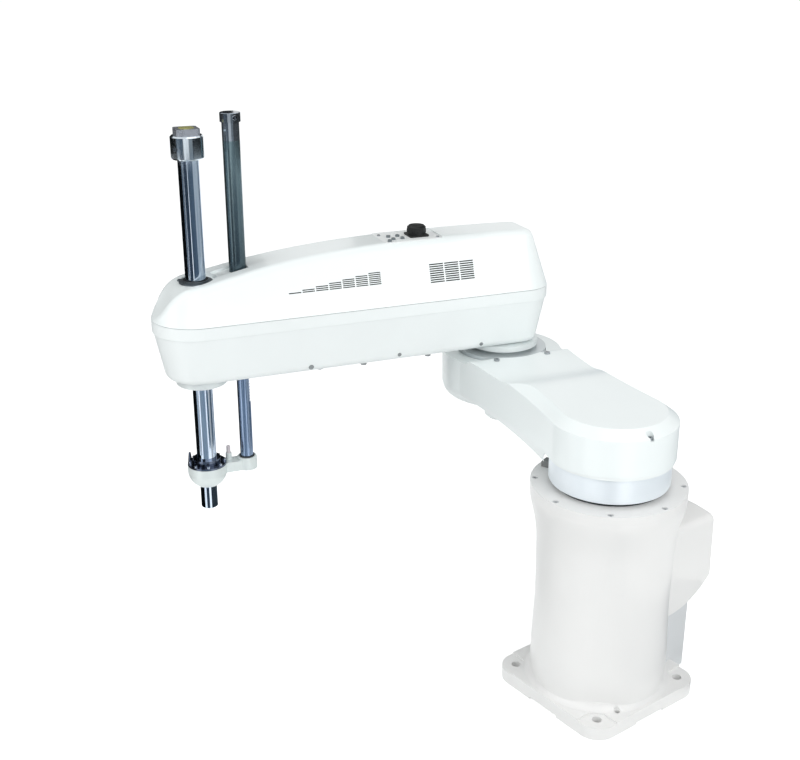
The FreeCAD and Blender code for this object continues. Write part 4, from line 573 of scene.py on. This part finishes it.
# %% Turned pieces
FIRST_AXIS = (0.0, 0.0)
RING_PALE = colour(232, 238, 238)
RETAINER_STEEL = colour(104, 112, 128)
DRIVE_STEEL = colour(160, 163, 166)
HUB_STEEL = colour(150, 152, 154)
TURNED = {
    "j1_turntable": (axis_of("j1_turntable"), colour(236, 243, 248), 0.34, 0.08, 0.2),
    "j2_output_ring": (axis_of("j2_output_ring"), RING_PALE, 0.36, 0.08, 0.2),
    "nose_collar": (axis_of("nose_collar"), RING_PALE, 0.36, 0.08, 0.2),
    "bearing_retainer": (shaft_axis, RETAINER_STEEL, 0.20, 0.12),
    "shaft_bearing": (shaft_axis, RETAINER_STEEL, 0.20, 0.12),
    "lock_collar": (shaft_axis, RETAINER_STEEL, 0.20, 0.12),
    "retainer_lug": (shaft_axis, RETAINER_STEEL, 0.20, 0.12),
    "j1_reducer": (FIRST_AXIS, HUB_STEEL, 0.38),
    "j1_output_hub": (FIRST_AXIS, HUB_STEEL, 0.38),
    "j2_reducer": (axis_of("j2_reducer"), colour(206, 212, 214), 0.42, 0.08, 0.5),
    "spline_nut": (shaft_axis, DRIVE_STEEL, 0.34),
    "nut_bearing": (shaft_axis, DRIVE_STEEL, 0.34),
    "nut_pulley": (shaft_axis, DRIVE_STEEL, 0.34),
    "t_motor_pulley": (axis_of("t_motor_pulley"), DRIVE_STEEL, 0.34),
    "z_pinion": (axis_of("z_pinion"), DRIVE_STEEL, 0.34),
    "top_collar": (shaft_axis, colour(214, 224, 232), 0.15, 0.06),
    "shaft_plug": (shaft_axis, colour(198, 196, 128), 0.38, 0.12, 0.7),
}
for piece, values in TURNED.items():
    own_finish[piece] = turned(piece + "_turned", *values)
print("turned pieces:", len(TURNED))

# %% [markdown]
# ## The hard chrome shaft
# The shaft slides and turns through its nut a million times, so it is ground and hard chromed. It is nearly a mirror,
# faintly blue, with grinding marks too fine to see singly and a thin film of oil that was wiped lengthwise and makes
# the gloss uneven in long streaks.

# %% Shaft
OIL_STREAKS = 5.0
OIL_RISE = 6.0
OIL_EDGES = (0.40, 0.70)
GRINDING_SCALE = 2400.0

shaft = Finish("shaft_chrome", Metallic=1.0)
oil_place = lathe_place(shaft, shaft_axis, 0.0, OIL_RISE, OIL_STREAKS)
oil = ramp_mask(shaft, noise(shaft, oil_place, 1.0, 3.0, 0.6), *OIL_EDGES)
ground = noise(shaft, lathe_place(shaft, shaft_axis, 0.0, GRINDING_SCALE), 1.0, 1.0)
shaft.feed("Base Color", between(shaft, oil, colour(206, 217, 230), colour(168, 184, 202)))
shaft.feed("Roughness", oil * 0.09 + ground * 0.03 + 0.04)
own_finish["spline_shaft"] = shaft.material
print("shaft finish ready")

# %% [markdown]
# ## The dark rod and the cap of its tube
# The lift rod has a thin blue-black coat over steel, so it shines like metal but reflects only a part of the light,
# and its colour drifts along the length, as heat-made oxide does. The cap of the tube that guards it drifts in the
# same way, starting from the shade of bare steel, and is smoother.

# %% Rod and cap
OXIDE_BANDS = 14.0
OXIDE_TWIST = 0.6
OXIDE_EDGES = (0.3, 0.7)
OXIDE_GRAIN = 900.0


def blued(name, axis, shade, gloss):
    finish = Finish(name, Metallic=0.9, Roughness=gloss)
    bands = noise(finish, lathe_place(finish, axis, 0.0, OXIDE_BANDS, OXIDE_TWIST), 1.0)
    fine = noise(finish, lathe_place(finish, axis, OXIDE_GRAIN, OXIDE_GRAIN), 1.0)
    mask = ramp_mask(finish, bands, *OXIDE_EDGES)
    finish.feed("Base Color", between(finish, mask, shade, darker(shade, 0.82)))
    finish.feed("Roughness", fine * 0.08 + bands * 0.06 + (gloss - 0.07))
    finish.bump(fine, 0.00001, 0.3)
    return finish.material


BARE_STEEL = colour(150, 160, 170)
own_finish["guard_tube_cap"] = blued("tube_cap_blued", axis_of("guard_tube_cap"), BARE_STEEL, 0.12)
own_finish["rack_rod"] = blued("rack_rod_blued", axis_of("rack_rod"), colour(150, 170, 198), 0.20)
print("rod and cap ready")

# %% [markdown]
# ## The guard tube
# The tube has such a coat up to the cap's seat, where a band is left bare and polished. Below the band the coat's
# colour carries a painted reflection, lighter at its upper end and darker downwards. A step in height tells the band
# from the coat, and a painted ramp in height carries the coat from its lighter shade to its darker one.

# %% Guard tube
TUBE_COAT_TOP = 0.792
TUBE_LIGHT_UP, TUBE_DARK_DOWN = 0.76, 0.61
TUBE_BANDS = 12.0

tube = Finish("guard_tube_blued", Metallic=0.85)
tube_axis = axis_of("rod_guard_tube")
tube_up = tube.node("ShaderNodeSeparateXYZ", None, {0: lathe_place(tube, tube_axis, 0.0, 1.0)}, out="Y")
tube_bands = noise(tube, lathe_place(tube, tube_axis, 0.0, TUBE_BANDS, OXIDE_TWIST), 1.0)
tube_fine = noise(tube, lathe_place(tube, tube_axis, OXIDE_GRAIN, OXIDE_GRAIN), 1.0)
bare = tube_up > TUBE_COAT_TOP
banding = ramp_mask(tube, tube_bands, *OXIDE_EDGES)
# Painted reflection on the coat: a lighter shade above, going to a darker one below.
painted_reflection_fade = ramp_mask(tube, tube_up, TUBE_LIGHT_UP, TUBE_DARK_DOWN)
upper_coat_and_painted_light = between(tube, banding, colour(134, 156, 162), colour(116, 138, 146))
coat = between(tube, painted_reflection_fade, upper_coat_and_painted_light, colour(82, 98, 106))
tube.feed("Base Color", between(tube, bare, coat, BARE_STEEL))
tube.feed("Roughness", tube_fine * 0.08 + (1 - bare) * 0.13 + 0.07)
own_finish["rod_guard_tube"] = tube.material
print("own finishes:", len(own_finish))

# %% [markdown]
# ## Milled and rolled metal
# The bracket that carries the shaft and the rod is milled, plates are rolled, and small fittings are plated. All have a
# fine texture with a few broader soft marks, and differ in colour and gloss. On the guide and the plate a stretch of
# the place turns the texture into brushing along one direction.

# %% Milled and plated metal
MILL_SCALE = 1400.0
MARK_SCALE = 90.0
MARK_EDGES = (0.4, 0.7)
NO_STRETCH = (1.0, 1.0, 1.0)
ALONG_X = (0.06, 1.0, 1.0)
ALONG_Y = (1.0, 0.05, 1.0)


def milled(name, shade, gloss, metal=1.0, scale=MILL_SCALE, stretch=NO_STRETCH):
    finish = Finish(name, Metallic=metal, Roughness=gloss)
    place = object_place(finish)
    longer = finish.node("ShaderNodeVectorMath", {"operation": "MULTIPLY"}, {0: place, 1: stretch})
    fine = noise(finish, longer, scale, 2.0, 0.6)
    marks = ramp_mask(finish, noise(finish, place, MARK_SCALE, 3.0), *MARK_EDGES)
    finish.feed("Base Color", between(finish, fine, shade, darker(shade, 0.88)))
    finish.feed("Roughness", fine * 0.12 + marks * 0.08 + (gloss - 0.10))
    finish.bump(fine, 0.00001, 0.4)
    return finish.material


finishes["bracket_aluminium"] = milled("bracket_milled", colour(230, 238, 237), 0.42, 0.2)
finishes["guide_aluminium"] = milled("guide_milled", DRIVE_STEEL, 0.38, stretch=ALONG_X)
finishes["plate_aluminium"] = milled(
    "plate_brushed", colour(178, 182, 186), 0.34, scale=2200.0, stretch=ALONG_Y
)
finishes["screw_steel"] = milled("screw_plated", colour(176, 180, 184), 0.28)
finishes["screw_dark"] = milled("screw_blackened", colour(78, 84, 90), 0.36, 0.8)
finishes["fitting_brass"] = milled("fitting_plated", colour(196, 190, 168), 0.30)
own_finish["top_block"] = milled("block_plated", colour(186, 190, 198), 0.30, 0.7)
own_finish["edge_plugs"] = milled("edge_plug_plated", colour(150, 155, 156), 0.5, 0.5)
own_finish["underside_plugs"] = milled("underside_plug_plated", colour(160, 164, 165), 0.5, 0.4)
own_finish["retainer_screws"] = milled("retainer_screw_bright", colour(186, 194, 206), 0.16)
own_finish["base_flange_screws"] = milled("flange_screw_plated", colour(206, 208, 210), 0.45, 0.6)
print("metal finishes added, now", len(finishes))

# %% [markdown]
# ## Rubber and foam
# Seals, the toothed belt and the bumper are rubber, and the gasket under the second arm's cover is foam: dull, with a
# dusty bloom that is lighter in patches. Only the bumper and the gasket are pale.

# %% Rubber
DUST_SCALE = 160.0
DUST_EDGES = (0.45, 0.80)
RUBBER_GRAIN = 2400.0


def rubber(name, shade, bloom, gloss=0.62):
    finish = Finish(name, Roughness=gloss, Specular_IOR_Level=0.35)
    place = object_place(finish)
    dust = ramp_mask(finish, noise(finish, place, DUST_SCALE, 4.0, 0.6), *DUST_EDGES)
    grain = noise(finish, place, RUBBER_GRAIN, 1.0)
    finish.feed("Base Color", between(finish, dust, shade, bloom))
    finish.feed("Roughness", grain * 0.12 + (gloss - 0.06))
    finish.bump(grain, 0.00004, 0.5)
    return finish.material


finishes["seal_rubber"] = rubber("seal_rubber", colour(40, 44, 46), colour(70, 74, 76))
finishes["belt_rubber"] = rubber("belt_rubber", colour(34, 34, 36), colour(62, 62, 62), 0.7)
finishes["bumper_rubber"] = rubber("bumper_rubber", colour(206, 200, 204), colour(222, 218, 220))
own_finish["arm2_gasket"] = rubber("gasket_foam", colour(168, 174, 176), colour(186, 190, 192), 0.7)
print("rubber finishes added, now", len(finishes))

# %% [markdown]
# ## The shaft's wiper
# The wiper in the cover is a metal flange with a rubber lip moulded into its bore. The distance from the shaft's axis
# tells one from the other, so a single piece carries both.

# %% Wiper
WIPER_LIP = 0.0182
WIPER_GRAIN = 2200.0

wiper = Finish("shaft_wiper_lip", Specular_IOR_Level=0.35)
wiper_lathe = lathe_place(wiper, shaft_axis, 1.0, 0.0)
wiper_flange = wiper.node("ShaderNodeSeparateXYZ", None, {0: wiper_lathe}, out="X") > WIPER_LIP
wiper_grain = noise(wiper, object_place(wiper), WIPER_GRAIN)
wiper.feed("Base Color", between(wiper, wiper_flange, colour(22, 25, 27), colour(104, 112, 118)))
wiper.feed("Roughness", wiper_grain * 0.12 + 0.62 - wiper_flange * 0.25)
wiper.feed("Metallic", wiper_flange * 0.8)
own_finish["shaft_wiper"] = wiper.material
print("wiper ready")

# %% [markdown]
# ## The circuit board
# The board inside the second arm has green lacquer over copper paths, which show as slightly raised lines between
# squares. A brick pattern with narrow joints gives both the lines' shade and their height.

# %% Board
PATH_SCALE = 160.0


def lacquered(name, shade, path_shade):
    finish = Finish(name, Roughness=0.25, Coat_Weight=0.4, Coat_Roughness=0.08)
    sockets = {
        "Vector": object_place(finish),
        "Scale": PATH_SCALE,
        "Mortar Size": 0.03,
        "Mortar Smooth": 0.2,
    }
    paths = finish.node("ShaderNodeTexBrick", None, sockets, out="Fac")
    finish.feed("Base Color", between(finish, paths, shade, path_shade))
    finish.bump(paths, 0.00005, 0.4)
    return finish.material


finishes["board_green"] = lacquered("board_lacquer", colour(26, 84, 50), colour(58, 118, 70))
print("all finishes:", len(finishes))

# %% [markdown]
# ## Putting the finishes on
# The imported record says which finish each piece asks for. A piece with a finish made for it alone takes that
# instead. Only the material slots of the frame's objects change, never their shape or place.

# %% Assign
wanted = {part["node"]: part["material_slot"] for part in frame["record"]["subparts"]}
for name, piece in frame["nodes"].items():
    chosen = own_finish.get(name) or finishes[wanted[name]]
    if not piece.material_slots:
        piece.data.materials.append(chosen)
    for slot in piece.material_slots:
        slot.material = chosen
print("finished pieces:", len(frame["nodes"]))

# %% [markdown]
# ## Skins from rows of points
# Both small things that are modelled here are rings of points, one row after the other, with faces between
# neighbouring rows. So one helper closes the faces, and each piece only says where its points lie.

# %% Rows to faces
def skin(mesh, rows):
    for lower, upper in zip(rows, rows[1:]):
        for point in range(len(lower)):
            following = (point + 1) % len(lower)
            mesh.faces.new((lower[point], lower[following], upper[following], upper[point]))


print("rows of points become skins")

# %% [markdown]
# ## Measuring the round connector
# The black cap on the top panel is screwed down by hand, so its wall has ribs to hold. They are too fine for the
# construction model and too plain to leave out. The ribs have to sit on the cap's wall, so its radius and the height
# of its wall are read from the construction model's own points.

# %% Connector wall
CAP_TOP_ZONE = 0.004
CAP_WALL_BAND = 0.0004
GRIP_MARGIN = 0.0022

cap_low, cap_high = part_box("round_connector")
cap_axis = (cap_low + cap_high) / 2
cap_points = [vertex.co for vertex in frame["nodes"]["round_connector"].data.vertices]


def from_cap_axis(point):
    return (Vector((point.x, point.y)) - Vector((cap_axis.x, cap_axis.y))).length


cap_radius = max(from_cap_axis(point) for point in cap_points if point.z > cap_high.z - CAP_TOP_ZONE)
wall = [point.z for point in cap_points if abs(from_cap_axis(point) - cap_radius) < CAP_WALL_BAND]
grip_low, grip_high = min(wall) + GRIP_MARGIN, max(wall) - GRIP_MARGIN
print("cap radius", round(cap_radius, 4), "wall from", round(min(wall), 4), "to", round(max(wall), 4))

# %% [markdown]
# ## The grip of the round connector
# The grip is one band whose radius waves in and out, with its top and bottom edges drawn in until they sink into the
# wall. The power below one makes the ribs full and the grooves between them narrow.

# %% Connector grip
GRIP_RIBS = 30
GRIP_POINTS = GRIP_RIBS * 8
GRIP_SWELL = 0.00055
GRIP_SINK = 0.0001
GRIP_LEVELS = [(0.0, 0.0), (0.10, 1.0), (0.90, 1.0), (1.0, 0.0)]

band = bmesh.new()
rows = []
for share, fullness in GRIP_LEVELS:
    row = []
    height = grip_low + (grip_high - grip_low) * share
    for point in range(GRIP_POINTS):
        turn = math.tau * point / GRIP_POINTS
        swell = GRIP_SWELL * fullness * (0.5 + 0.5 * math.cos(GRIP_RIBS * turn)) ** 0.6
        radius = cap_radius - GRIP_SINK + swell
        x = cap_axis.x + radius * math.cos(turn)
        y = cap_axis.y + radius * math.sin(turn)
        row.append(band.verts.new((x, y, height)))
    rows.append(row)
skin(band, rows)
grip_mesh = bpy.data.meshes.new("connector_grip")
band.to_mesh(grip_mesh)
band.free()
for face in grip_mesh.polygons:
    face.use_smooth = True
grip_mesh.materials.append(finishes["connector_black"])
grip = placed("connector_grip", grip_mesh)
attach(grip, "second_arm")
print("grip faces:", len(grip_mesh.polygons))

# %% [markdown]
# ## The set screw in the tube's cap
# The cap of the guard tube is held by one set screw, whose hexagon socket shows as a bright spot on its wall. It is
# built in its own little frame, lying flat: a ring of points for each step of its profile, round outside and six-sided
# in the socket, skinned row by row. Then the frame is turned so that it looks out of the cap.

# %% Set screw
SCREW_LOOK = 86.0
SCREW_RADIUS = 0.0032
SCREW_EDGE = SCREW_RADIUS * 0.88
SCREW_ROOT = -0.001
SCREW_PROUD = 0.0007
SOCKET_RADIUS = 0.0016
SOCKET_MIDDLE = SOCKET_RADIUS * 0.05
SOCKET_DEPTH = 0.0012
SOCKET_FLOOR = SCREW_PROUD - SOCKET_DEPTH
SCREW_POINTS = 48
SIXTH = math.tau / 6
SCREW_PROFILE = [
    (SCREW_RADIUS, SCREW_ROOT, False),
    (SCREW_RADIUS, SCREW_PROUD * 0.5, False),
    (SCREW_EDGE, SCREW_PROUD, False),
    (SOCKET_RADIUS, SCREW_PROUD, True),
    (SOCKET_RADIUS, SOCKET_FLOOR, True),
    (SOCKET_MIDDLE, SOCKET_FLOOR, True),
]


def hexagon(turn):
    return math.cos(SIXTH / 2) / math.cos((turn % SIXTH) - SIXTH / 2)


tube_cap_low, tube_cap_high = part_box("guard_tube_cap")
tube_cap_radius = (tube_cap_high.x - tube_cap_low.x) / 2
grub = bmesh.new()
rows = []
for radius, out, six_sided in SCREW_PROFILE:
    row = []
    for point in range(SCREW_POINTS):
        turn = math.tau * point / SCREW_POINTS
        reach = radius * (hexagon(turn) if six_sided else 1.0)
        row.append(grub.verts.new((out, reach * math.cos(turn), reach * math.sin(turn))))
    rows.append(row)
skin(grub, rows)
look = math.radians(SCREW_LOOK)
way_out = Vector((math.cos(look), math.sin(look), 0.0))
grub.transform(Matrix.Rotation(look, 4, "Z"))
grub.transform(Matrix.Translation(axis_of("guard_tube_cap") + way_out * tube_cap_radius))
screw_mesh = bpy.data.meshes.new("cap_set_screw")
grub.to_mesh(screw_mesh)
grub.free()
screw_mesh.materials.append(own_finish["retainer_screws"])
set_screw = placed("cap_set_screw", screw_mesh)
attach(set_screw, "second_arm")
print("set screw on the cap, faces:", len(screw_mesh.polygons))

# %% End
print("the scene is dressed")
